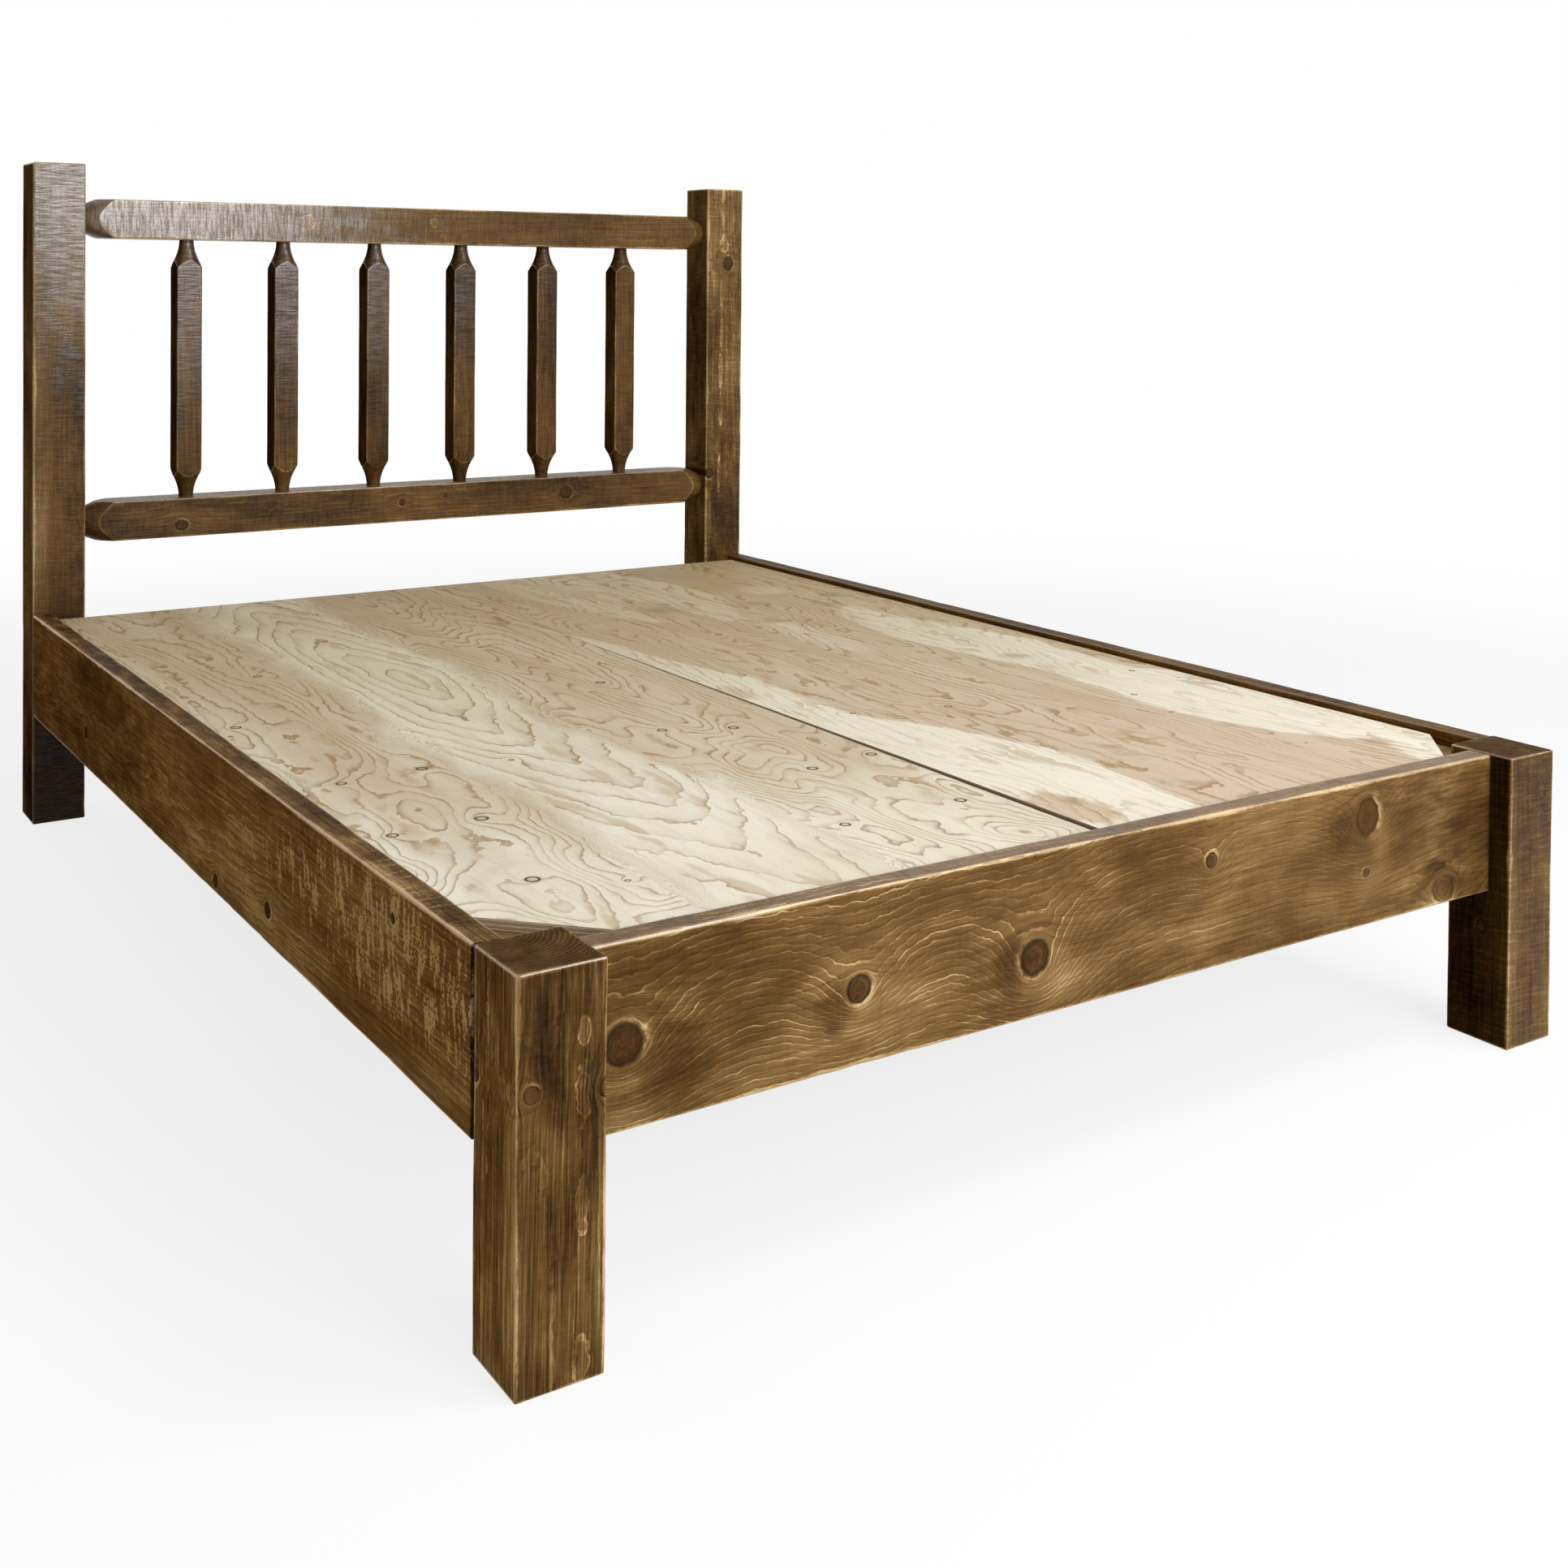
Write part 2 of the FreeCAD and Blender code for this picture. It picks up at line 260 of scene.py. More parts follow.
def slope(value, low, high, start=0.0, end=1.0):
    """A smooth step from start to end as a value goes from low to high."""
    values = {"Value": value, "From Min": low, "From Max": high, "To Min": start, "To Max": end}
    return field(value.tree, "ShaderNodeMapRange", values, "Result", interpolation_type="SMOOTHSTEP")


def blend(factor, a, b):
    """Mix two numbers."""
    return field(factor.tree, "ShaderNodeMix", {0: factor, 2: a, 3: b}, 0, data_type="FLOAT")


def mixed(factor, a, b, how="MIX"):
    """Mix two colours."""
    return field(factor.tree, "ShaderNodeMix", {0: factor, 6: a, 7: b}, 2, data_type="RGBA", blend_type=how)


def grainy(vector, scale, detail=2.0, roughness=0.5, distortion=0.0):
    """Noise between 0 and 1."""
    values = {"Vector": vector, "Scale": scale, "Detail": detail, "Roughness": roughness,
              "Distortion": distortion}
    return field(vector.tree, "ShaderNodeTexNoise", values, "Fac")


def parts_of(vector):
    """X, Y and Z of a vector."""
    return [Field(part) for part in add(vector.tree, "ShaderNodeSeparateXYZ", {"Vector": vector}).outputs]


def joined(x, y, z):
    """A vector from X, Y and Z."""
    tree = next(part.tree for part in (x, y, z) if isinstance(part, Field))
    return field(tree, "ShaderNodeCombineXYZ", {"X": x, "Y": y, "Z": z})


def away_from(point, centre, size):
    """How far a point is from a centre, 1 at the edge of an oval with three half sizes."""
    return length_of((point - centre) / size)


def attribute(tree, name, output="Fac"):
    """A mesh attribute."""
    return field(tree, "ShaderNodeAttribute", None, output, attribute_name=name)


def facing_way(tree):
    """The normal of the face."""
    return field(tree, "ShaderNodeNewGeometry", None, "Normal")


def bumped(height, distance, strength=1.0):
    """A normal from a height between 0 and 1."""
    values = {"Height": height, "Distance": distance, "Strength": strength}
    return field(height.tree, "ShaderNodeBump", values)


def rgba(colour, share=1.0):
    """A colour with its alpha, darkened by a share."""
    return (colour[0] * share, colour[1] * share, colour[2] * share, 1.0)


def new_group(name, kind, inputs, outputs):
    """A node group with named sockets. Each input is given as name: (kind of socket, value). Gives the
    tree, its inputs as fields and the sockets of its outputs."""
    tree = bpy.data.node_groups.new(name, kind)
    for label, (socket_kind, value) in inputs.items():
        socket = tree.interface.new_socket(name=label, in_out="INPUT", socket_type=socket_kind)
        if value is not None:
            socket.default_value = value
    for label, socket_kind in outputs.items():
        tree.interface.new_socket(name=label, in_out="OUTPUT", socket_type=socket_kind)
    given = {socket.name: Field(socket) for socket in tree.nodes.new("NodeGroupInput").outputs}
    return tree, given, tree.nodes.new("NodeGroupOutput").inputs


# Effects that several materials use, as node groups


def growth_rings_group():
    """Growth rings round the Z axis, wavering along the trunk and swelling at knots."""
    tree, given, out = new_group(
        "Growth Rings", "ShaderNodeTree",
        {"Point": (VECTOR, None), "Step": (FLOAT, 0.005), "Waver": (FLOAT, 0.02), "Swell": (FLOAT, 0.0)},
        {"Late Wood": FLOAT, "Early Wood": FLOAT})
    point = given["Point"]
    slow = grainy(point * (1.0, 1.0, 0.3), 6.0, 1.0, 0.4) - 0.5
    jag = grainy(point * (1.0, 1.0, 0.8), 52.0, 2.0, 0.6) - 0.5
    radius = length_of(point * (1.0, 1.0, 0.0)) + slow * given["Waver"] + jag * (given["Step"] * 1.15)
    phase = radius / given["Step"] + given["Swell"]
    part = fraction(phase)
    late = slope(part, 0.76, 0.93) * slope(part, 0.95, 1.0, 1.0, 0.0)
    year = field(tree, "ShaderNodeTexWhiteNoise", {"W": whole(phase)}, "Value", noise_dimensions="1D")
    put(out["Late Wood"], late * (year * 0.7 + 0.3))
    put(out["Early Wood"], slope(part, 0.0, 0.5, 1.0, 0.0))
    return tree


def fibre_group():
    """Fine fibres and longer streaks along the Z axis."""
    tree, given, out = new_group(
        "Fibre", "ShaderNodeTree", {"Point": (VECTOR, None)}, {"Fine": FLOAT, "Streak": FLOAT})
    put(out["Fine"], grainy(given["Point"] * (1.0, 1.0, 0.02), 620.0, 2.0, 0.6))
    put(out["Streak"], grainy(given["Point"] * (1.0, 1.0, 0.022), 230.0, 3.0, 0.6))
    return tree


def saw_marks_group():
    """Marks of the saw across the Z axis, with pale flecks where the teeth left a ridge."""
    tree, given, out = new_group(
        "Saw Marks", "ShaderNodeTree", {"Point": (VECTOR, None), "Pitch": (FLOAT, 0.002)},
        {"Height": FLOAT, "Ridge": FLOAT})
    x, y, z = parts_of(given["Point"])
    wander = grainy(given["Point"], 6.0, 1.0) * 0.03
    lean = (x + y) * 0.08
    stroke = (z + (wander + lean)) / given["Pitch"]
    ridge = grainy(joined(x * 22.0, y * 22.0, stroke * 0.55), 1.0, 2.0, 0.6)
    tooth = grainy(joined(x * 260.0, y * 260.0, stroke), 1.0, 2.0, 0.6)
    put(out["Height"], ridge * 0.6 + tooth * 0.4)
    put(out["Ridge"], slope(ridge * (tooth + 0.5), 0.5, 0.72))
    return tree


def knot_group():
    """One knot: how much the rings swell round it, its heart, its dark rim, its own rings, a drying crack,
    the pale wood round it and how the fibres part round it."""
    tree, given, out = new_group(
        "Knot", "ShaderNodeTree",
        {"Point": (VECTOR, None), "Centre": (VECTOR, ORIGIN), "Squash": (VECTOR, (1.0, 1.0, 1.0)),
         "Across": (VECTOR, (1.0, 0.0, 0.0)), "Crack": (VECTOR, (1.0, 0.0, 0.0)), "Radius": (FLOAT, 0.01),
         "Lift": (FLOAT, 3.0), "Reach": (FLOAT, 3.0)},
        {"Swell": FLOAT, "Heart": FLOAT, "Rim": FLOAT, "Ring": FLOAT, "Depth": FLOAT, "Halo": FLOAT,
         "Flow": VECTOR})
    away = (given["Point"] - given["Centre"]) * given["Squash"]
    distance = length_of(away) / given["Radius"]
    rough = grainy(given["Point"], 62.0, 3.0, 0.6)
    edge = distance * (rough * 0.62 + 0.69)
    put(out["Swell"], given["Lift"] / ((distance / given["Reach"]) ** 2.0 + 1.0))
    put(out["Heart"], slope(edge, 0.9, 1.04, 1.0, 0.0))
    share = -1.25 / larger(distance * distance, 1.25)
    put(out["Flow"], lengthened(away * given["Across"], share))
    rim = slope(edge, 0.8, 0.98) * slope(edge, 1.0, 1.18, 1.0, 0.0)
    rim *= slope(rough, 0.36, 0.56, 0.3, 1.0)
    across = along(away, given["Crack"]) / given["Radius"]
    line = abs(rough * 0.5 + (across - 0.25))
    crack = slope(line, 0.0, 0.06, 0.45, 0.0) * slope(edge, 0.4, 0.7, 1.0, 0.0)
    put(out["Rim"], larger(rim, crack))
    put(out["Ring"], slope(fraction(edge * 4.3), 0.45, 0.95))
    put(out["Depth"], slope(edge, 0.35, 1.0))
    halo = slope(edge, 1.04, 1.18) * slope(edge, 1.2, 1.75, 1.0, 0.0)
    halo *= slope(rough, 0.36, 0.6, 0.15, 1.0)
    put(out["Halo"], halo * slope(across, -0.7, 1.2, 0.08, 1.0))
    return tree


def flame_group():
    """A sliver of pale wood where the saw has cut across a ring: a bright outline that tapers along the
    grain."""
    tree, given, out = new_group(
        "Flame", "ShaderNodeTree",
        {"Point": (VECTOR, None), "Centre": (VECTOR, ORIGIN), "Size": (VECTOR, (0.01, 0.01, 0.01))},
        {"Mask": FLOAT})
    wobble = grainy(given["Point"], 85.0, 2.0) - 0.5
    edge = wobble * 1.3 + away_from(given["Point"], given["Centre"], given["Size"])
    rim = slope(edge, 0.62, 0.92) * slope(edge, 0.95, 1.12, 1.0, 0.0)
    inner = slope(edge, 0.3, 0.44) * slope(edge, 0.46, 0.6, 1.0, 0.0)
    filled = slope(edge, 0.75, 0.95, 1.0, 0.0) * 0.4
    put(out["Mask"], larger(rim, larger(inner * 0.6, filled)))
    return tree


def edge_wear_group():
    """Where rubbing has taken the stain off, from the arris attribute and a noise."""
    tree, given, out = new_group(
        "Edge Wear", "ShaderNodeTree",
        {"Point": (VECTOR, None), "Arris": (FLOAT, 0.0), "Amount": (FLOAT, 1.0)}, {"Mask": FLOAT})
    patchy = grainy(given["Point"], 14.0, 3.0, 0.6) * 1.15 - 0.52
    fuzzy = grainy(given["Point"], 190.0, 2.0) * 0.35 - 0.17
    raised = given["Arris"] + patchy + fuzzy
    put(out["Mask"], slope(raised, 0.46, 0.98) * given["Amount"])
    return tree


def dust_group():
    """Faint dust that dulls the top faces."""
    tree, given, out = new_group(
        "Dust", "ShaderNodeTree", {"Point": (VECTOR, None), "Normal": (VECTOR, None)}, {"Mask": FLOAT})
    up = parts_of(given["Normal"])[2]
    put(out["Mask"], slope(up, 0.6, 1.0) * grainy(given["Point"], 9.0, 3.0))
    return tree


makers = {"rings": growth_rings_group, "fibre": fibre_group, "saw": saw_marks_group, "knot": knot_group,
          "flame": flame_group, "wear": edge_wear_group, "dust": dust_group}
effects = {}


def placed(name, **values):
    """An effect placed in a material with its own values. Its group is made the first time that it is
    asked for. Gives its outputs by name."""
    if name not in effects:
        effects[name] = makers[name]()
    made = add(values["Point"].tree, "ShaderNodeGroup", values, node_tree=effects[name])
    return {socket.name: Field(socket) for socket in made.outputs}


# Materials


def new_material(name):
    """A node material. Gives it with its tree, its shader and the object's own coordinates."""
    made = bpy.data.materials.new(name)
    made.use_nodes = True
    tree = made.node_tree
    tree.nodes.clear()
    shader = add(tree, "ShaderNodeBsdfPrincipled")
    add(tree, "ShaderNodeOutputMaterial", {"Surface": shader.outputs["BSDF"]})
    return made, tree, shader, field(tree, "ShaderNodeTexCoord", None, "Object")


def knots_on(point, grain, knots):
    """Every knot of a timber together. Each is given as centre, radius, the axis that it runs along, its
    stretch along the grain, how many rings it lifts, how far it reaches and how strong its heart shows."""
    total = {"Swell": 0.0, "Heart": 0.0, "Rim": 0.0, "Ring": 0.0, "Depth": 0.0, "Halo": 0.0, "Flow": ORIGIN}
    for number, (centre, radius, through, stretch, lift, reach, *share) in enumerate(knots):
        squash, across = [1.0, 1.0, 1.0], [1.0, 1.0, 1.0]
        squash[AXIS_INDEX[grain]] = 1.0 / stretch
        squash[AXIS_INDEX[through]] = 0.0
        across[AXIS_INDEX[grain]] = across[AXIS_INDEX[through]] = 0.0
        turn = 0.9 + 1.7 * number
        crack = [math.sin(turn), math.sin(turn), math.cos(turn)]
        found = placed("knot", Point=point, Centre=centre, Squash=squash, Radius=radius, Across=across,
                       Crack=crack, Lift=lift, Reach=reach)
        strong = share[0] if share else 1.0
        heart = found["Heart"] * strong
        total["Heart"] = larger(heart, total["Heart"])
        total["Rim"] = larger(found["Rim"] * strong, total["Rim"])
        total["Halo"] = larger(found["Halo"], total["Halo"])
        total["Swell"] = found["Swell"] + total["Swell"]
        total["Flow"] = found["Flow"] + total["Flow"]
        for key in ("Ring", "Depth"):
            total[key] = larger(found[key] * heart, total[key])
    return total


def stain_ramp(level):
    """The stain's colour from how little of it the wood has taken, between 0 and 1."""
    look = bpy.context.scene.bed_timber
    ramp = add(level.tree, "ShaderNodeValToRGB", {"Fac": level})
    stops = ((0.0, look.stain_deep), (0.26, look.stain_dark), (0.50, look.stain_mid), (0.72, look.stain_gold),
             (1.0, look.late_wood))
    ends = ramp.color_ramp.elements
    while len(ends) < len(stops):
        ends.new(0.5)
    for stop, (place, colour) in zip(ends, stops):
        stop.position = place
        stop.color = rgba(colour)
    return Field(ramp.outputs["Color"])


def in_log(point, grain, pith, tilt):
    """A point in the log that a timber was sawn from, with the pith along Z."""
    to_pith = (-pith[0], -pith[1], -pith[2])
    for location, angles in ((ORIGIN, GRAIN_TURN[grain]), (to_pith, (tilt[0], tilt[1], 0.0))):
        point = field(point.tree, "ShaderNodeMapping",
                      {"Vector": point, "Location": location, "Rotation": angles})
    return point


def nudge(level, value, amount, middle=0.5):
    """Add a field about its middle to a level."""
    return (value - middle) * amount + level


def knotty(colour, point, knot, strength):
    """A colour with the hearts and the dark rims of knots over it."""
    look = bpy.context.scene.bed_timber
    mottle = grainy(point, 110.0, 2.0, 0.6)
    heart = mixed(slope(mottle, 0.3, 0.66), rgba(look.knot_heart, 0.5), rgba(look.knot_heart))
    heart = mixed(knot["Ring"] * 0.45, heart, rgba(look.knot_heart, 0.28))
    heart = mixed(knot["Depth"] * 0.6, heart, rgba(look.knot_heart, 0.22))
    colour = mixed(knot["Heart"] * strength, colour, heart)
    return mixed(knot["Rim"] * 0.8, colour, rgba(look.stain_deep))


def pine(name, grain, pith, tilt=(0.0, 0.0), step=None, waver=0.03, tone=0.5, lines=0.24, line_fade=None,
         streaks=0.5, patches=0.9, saw=0.5, coarse=1.0, flecks=0.0, fleck_place=None, knots=(), hearts=0.9,
         flames=(), tones_and_painted_shade=(), wear=1.0, painted_left_face_light_and_shade=0.0, painted_left_face_warm_shade=0.0, satin=0.40, gloss=0.12,
         top_gloss=0.27, edge_gloss=0.9, polish=None, shifted=False):
    """Rough-sawn pine, stained brown under a satin lacquer.

    The timber's place in its log is given by the axis of its grain, a point on the pith and the pith's tilt,
    and by the step and the waver of its rings. The tone is how pale the stain is on the whole.

    Lines, streaks, patches, saw and flecks say how strongly late wood, fibres, blotches, saw marks and pale
    ridges show. The lines fade along X by line_fade, the saw's teeth can be coarse, and flecks keep near
    fleck_place. Knots, flames and patches of tone, some of them painted shade and painted shadow, are single
    features at their own places, and hearts is how dark the knots are. Wear is how much stain the arrises
    have lost. The face that looks to the left can be painted paler as painted light, painted darker as
    painted shade, and tinted warmer as painted shade.

    Satin is the roughness. Gloss, top_gloss and edge_gloss are the shine of side faces, upper face and
    arrises, and polish is a place where faces shine more. A shifted piece takes its own part of the figure
    from the mesh."""
    look = bpy.context.scene.bed_timber
    made, tree, shader, point = new_material(name)
    place = point
    if shifted:
        point += attribute(tree, SHIFT, "Vector")
    knot = knots_on(point, grain, knots)
    log = in_log(point + knot["Flow"], grain, pith, tilt)
    still = in_log(point, grain, pith, tilt)
    rings = placed("rings", Point=log, Step=step or look.ring_step, Waver=waver, Swell=knot["Swell"])
    fibre = placed("fibre", Point=log)
    marks = placed("saw", Point=log, Pitch=coarse * look.saw_pitch)
    cloud = grainy(log * (1.0, 1.0, 0.45), 7.5, 2.0, 0.5, 0.3)
    blotch = grainy(log * (1.0, 1.0, 0.45), 36.0, 3.0, 0.6)
    arris = attribute(tree, ARRIS)
    facing = facing_way(tree)
    normal = parts_of(facing)
    to_left = slope(normal[0], -0.95, -0.5, 1.0, 0.0)
    end = slope(abs(normal[AXIS_INDEX[grain]]), 0.75, 0.97)

    # How little stain the wood has taken
    level = nudge(tone, cloud, 1.25 * patches)
    level = nudge(level, blotch, 0.62 * patches)
    level = nudge(level, fibre["Streak"], 0.62 * streaks)
    level = nudge(level, fibre["Fine"], 0.85 * streaks)
    level = nudge(level, marks["Height"], 0.30 * saw)
    level = nudge(level, rings["Early Wood"], -0.07, 0.3)
    broken = slope(fibre["Streak"] * 0.4 + blotch, 0.52, 0.86, 0.12, 1.0)
    if line_fade:
        low, high, least = line_fade
        broken *= slope(parts_of(point)[0], low, high, 1.0, least)
    level += rings["Late Wood"] * broken * lines
    if flecks:
        ridge = marks["Ridge"]
        if fleck_place:
            ridge *= slope(blotch * 0.9 + away_from(point, *fleck_place), 0.75, 1.6, 1.0, 0.0)
        level += ridge * (0.5 * flecks)
    for centre, size in flames:
        flame = placed("flame", Point=point, Centre=centre, Size=size)
        level += flame["Mask"] * slope(blotch, 0.34, 0.58, 0.35, 1.0) * 0.4
    # Patches of paler and darker tone; some of the darker ones are painted shade, in joints and under the bed
    for centre, size, amount in tones_and_painted_shade:
        away = nudge(away_from(point, centre, size), blotch, 1.6)
        level += slope(away, 0.35, 1.35, amount, 0.0)
    level += knot["Halo"] * 0.30
    # Painted light and shade: the face that looks to the left is made paler for a value above 0 and darker
    # below 0
    if painted_left_face_light_and_shade:
        level += to_left * painted_left_face_light_and_shade
    rubbed = placed("wear", Point=point, Arris=arris, Amount=wear)["Mask"]
    level += rubbed * 0.35
    end_level = nudge(0.30, rings["Early Wood"], 0.22, 0.3)
    end_level = nudge(end_level, blotch, 0.7)
    colour = stain_ramp(blend(end, level, rubbed * 0.25 + end_level))
    if flecks > 1.0:
        colour = mixed(ridge * (0.4 * flecks), colour, rgba((0.50, 0.385, 0.235)))
    # Painted shade: a warmer, darker tint on the face that looks to the left
    if painted_left_face_warm_shade:
        colour = mixed(to_left * painted_left_face_warm_shade, colour, rgba((1.06, 0.90, 0.68)), "MULTIPLY")
    if knots:
        colour = knotty(colour, point, knot, hearts)

    # The shine keeps clear of the effects, and takes its own grain and saw marks
    if polish:
        centre, size, most = polish
        uneven = grainy(still * (1.0, 1.0, 0.45), 36.0, 3.0, 0.6)
        gloss = slope(nudge(away_from(place, centre, size), uneven, 0.9), 0.35, 1.2, most, gloss)
    shine = blend(slope(normal[2], 0.75, 0.95), (1.0 - to_left) * gloss, top_gloss)
    comb = grainy(still * (30.0, 30.0, 0.7 / look.saw_pitch), 1.0, 2.0, 0.6)
    shine *= slope(comb, 0.36, 0.64, 0.45, 1.2)
    lit = slope(normal[2], 0.12, 0.5, 0.12, 1.0)
    shine = larger(shine, slope(arris, 0.45, 1.0, 0.0, edge_gloss) * lit)
    shine *= 1.0 - end * 0.9

    dusty = placed("dust", Point=point, Normal=facing)["Mask"]
    rough = marks["Height"] * 0.20 + (satin - 0.10) + end * 0.15 - arris * 0.12 + dusty * 0.12
    height = marks["Height"] * saw - fibre["Fine"] * 0.22 + rings["Late Wood"] * 0.16 - knot["Rim"] * 0.7
    put(shader.inputs["Base Color"], colour)
    put(shader.inputs["Roughness"], rough)
    put(shader.inputs["Specular IOR Level"], shine)
    put(shader.inputs["Coat Weight"], shine * (0.5 - knot["Heart"] * 0.4))
    put(shader.inputs["Coat Roughness"], 0.2)
    put(shader.inputs["Normal"], bumped(height, 0.0011, 0.75))
    return made


def edge_at(y, points):
    """The X of an edge between two bands of veneer, from points given as (Y, X)."""
    low, high = -1.05, 1.05
    share = field(y.tree, "ShaderNodeMapRange", {"Value": y, "From Min": low, "From Max": high}, "Result")
    curve = add(y.tree, "ShaderNodeFloatCurve", {"Value": share})
    line = curve.mapping.curves[0]
    while len(line.points) < len(points):
        line.points.new(0.5, 0.5)
    for point, (at, value) in zip(line.points, sorted(points)):
        point.location = ((at - low) / (high - low), value)
        point.handle_type = "AUTO"
    curve.mapping.update()
    return Field(curve.outputs["Value"])


def veneer_knots(flat, knots):
    """Small knots in the veneer, each given as X, Y and radius."""
    swell, ring, core = 0.0, 0.0, 0.0
    for x, y, radius in knots:
        distance = length_of(flat - (x, y, 0.0)) / radius
        swell += 1.5 / ((distance * 0.34) ** 2.0 + 1.0)
        ring = larger(1.0 - abs(distance - 0.8) * 3.6, ring)
        core = larger(1.7 - distance, core)
    return swell, ring, core


def lobe(flat, centre, reach, soft=0.16):
    """1 inside an oval with a soft edge, 0 outside."""
    away = away_from(flat, (*centre, 0.0), (*reach, 1.0))
    return slope(away, 1.0 - soft, 1.0 + soft, 1.0, 0.0)


def cloudy(flat, across, along, detail=2.0, roughness=0.5, distortion=0.0, moved=ORIGIN):
    """Noise in the plane of a panel about 0, at its own scale across and along the grain."""
    return grainy(flat * (across, along, 1.0) + moved, 1.0, detail, roughness, distortion) - 0.5


def oval_figure(x, y, flat, jag, blur):
    """The left panel's figure: wild lines, and one long oval of wide pale lines between two edges along
    the panel. Gives the lines' phase, how pale the veneer is, its filled patches, the strength of the lines
    and how late in each ring they start."""
    hurry = larger(-0.25 - y, 0.0)
    drawn_out = joined(x, y - hurry * hurry * 1.3, 0.0)
    broad = cloudy(flat, 2.2, 0.7, 1.0, 0.5, 0.0, (3.0, 1.0, 0.0))
    wild = cloudy(drawn_out, 4.8, 0.95, 2.0, 0.45, 0.2, (0.7, 4.4, 0.0))
    outer = x * 14.0 + (wild * 34.0 + broad * 16.0)

    from_middle = x + 0.397 + cloudy(flat, 0.1, 2.2, 1.0) * 0.09
    rough_edge = blur * 0.10 + from_middle
    inside = slope(rough_edge, -0.150, -0.112) * slope(rough_edge, 0.085, 0.122, 1.0, 0.0)
    far_x = abs(from_middle) * 44.0
    far_y = abs(y - 0.20) * 9.0
    oval = (far_x + far_y) * 0.2 + root(far_x * far_x + far_y * far_y) * 0.8
    oval += cloudy(flat, 9.0, 3.0, 1.0) * 2.2

    phase = blend(inside, outer, oval) + jag * (1.0 - inside * 0.3)
    pale = inside * slope(y, -0.98, -0.62) * 0.62 + slope(blur * 0.5 + y, -0.50, -0.86, 0.18, 0.75)
    pale += slope(blur * 0.12 + x, -0.70, -0.76, 0.0, 0.3)
    pale += cloudy(flat, 9.0, 1.8, 2.0, 0.5, 0.0, (8.0, 0.0, 0.0)) * 1.2
    filled = slope(cloudy(flat, 22.0, 4.5, 2.0, 0.5, 0.0, (2.0, 9.0, 0.0)), 0.09, 0.15)
    strength = (1.0 - inside * 0.22) * slope(y, -0.85, -0.35, 0.70, 1.0)
    return phase, pale, filled, strength, inside * 0.12 + 0.70


def sapwood_bands(y, x_soft, soft):
    """Where the right panel is bare sapwood: along the seam, along the rail and at the head."""
    seam = edge_at(y, [
        (-1.05, 0.190), (-1.0, 0.197), (-0.867, 0.214), (-0.773, 0.226), (-0.68, 0.217), (-0.60, 0.193),
        (-0.493, 0.150), (-0.44, 0.130), (-0.387, 0.107), (-0.28, 0.107), (-0.147, 0.113), (-0.067, 0.103),
        (0.013, 0.077), (0.12, 0.059), (0.253, 0.043), (0.36, 0.014), (0.42, 0.0), (1.05, 0.0)])
    rail_in = edge_at(y, [
        (-1.05, 0.62), (-0.96, 0.643), (-0.92, 0.663), (-0.867, 0.623), (-0.813, 0.590), (-0.733, 0.563),
        (-0.60, 0.543), (-0.467, 0.550), (-0.253, 0.567), (-0.173, 0.550), (-0.067, 0.534), (0.067, 0.530),
        (0.20, 0.550), (0.28, 0.577), (0.36, 0.640), (0.42, 0.80), (1.05, 0.9)])
    rail_out = edge_at(y, [
        (-1.05, 0.9), (-0.47, 0.9), (-0.42, 0.78), (-0.35, 0.728), (-0.20, 0.725), (-0.10, 0.742),
        (-0.013, 0.717), (0.067, 0.697), (0.20, 0.670), (0.36, 0.655), (1.05, 0.6)])
    head_in = edge_at(y, [
        (-1.05, 0.8), (0.30, 0.45), (0.36, 0.250), (0.42, 0.200), (0.50, 0.167), (0.60, 0.140), (0.75, 0.117),
        (1.05, 0.105)])
    head_out = edge_at(y, [
        (-1.05, 0.1), (0.28, 0.385), (0.36, 0.400), (0.47, 0.440), (0.60, 0.474), (0.75, 0.472),
        (0.90, 0.432), (1.05, 0.395)])

    def band(low, high):
        """1 between two edges."""
        return slope(x_soft - low, -0.006, 0.012) * slope(high - x_soft, -0.006, 0.009)

    finger = lobe(soft, (0.285, 0.40), (0.050, 0.24))
    stained = larger(lobe(soft, (0.045, -0.935), (0.045, 0.075)),
                     lobe(soft, (0.030, -0.19), (0.02, 0.05), 0.5))
    bare = larger(band(-0.1, seam), band(rail_in, rail_out))
    bare = bare * (1.0 - stained * 0.9) * slope(y, -0.6, 0.5, 1.0, 0.62)
    bare = larger(bare, band(head_in, head_out) * (1.0 - finger) * 0.5)
    bare = larger(bare, lobe(soft, (0.405, 0.14), (0.035, 0.17), 0.35) * 0.45)
    return larger(bare, lobe(soft, (0.60, 0.60), (0.05, 0.05), 0.4) * 0.5)


def banded_figure(x, flat, jag, bare):
    """The right panel's figure: long lines that fade where the sapwood is bare. It gives what
    oval_figure gives."""
    wild = cloudy(flat, 6.0, 1.1, 2.0, 0.5, 0.2, (5.0, 2.0, 0.0))
    broad = cloudy(flat, 2.0, 0.6, 1.0)
    phase = jag * 1.1 + (x * 34.0 + (wild * 24.0 + broad * 12.0))
    pale = bare + cloudy(flat, 8.0, 1.6, 2.0) * 0.8
    filled = slope(cloudy(flat, 20.0, 5.0, 2.0, 0.5, 0.0, (2.0, 9.0, 0.0)), 0.08, 0.16)
    hidden = slope(cloudy(flat, 5.0, 1.5, 2.0, 0.5, 0.0, (1.0, 7.0, 0.0)), -0.06, 0.08)
    return phase, pale, filled, (1.15 - bare * 0.85) * (hidden * 0.3 + 0.7), 0.66


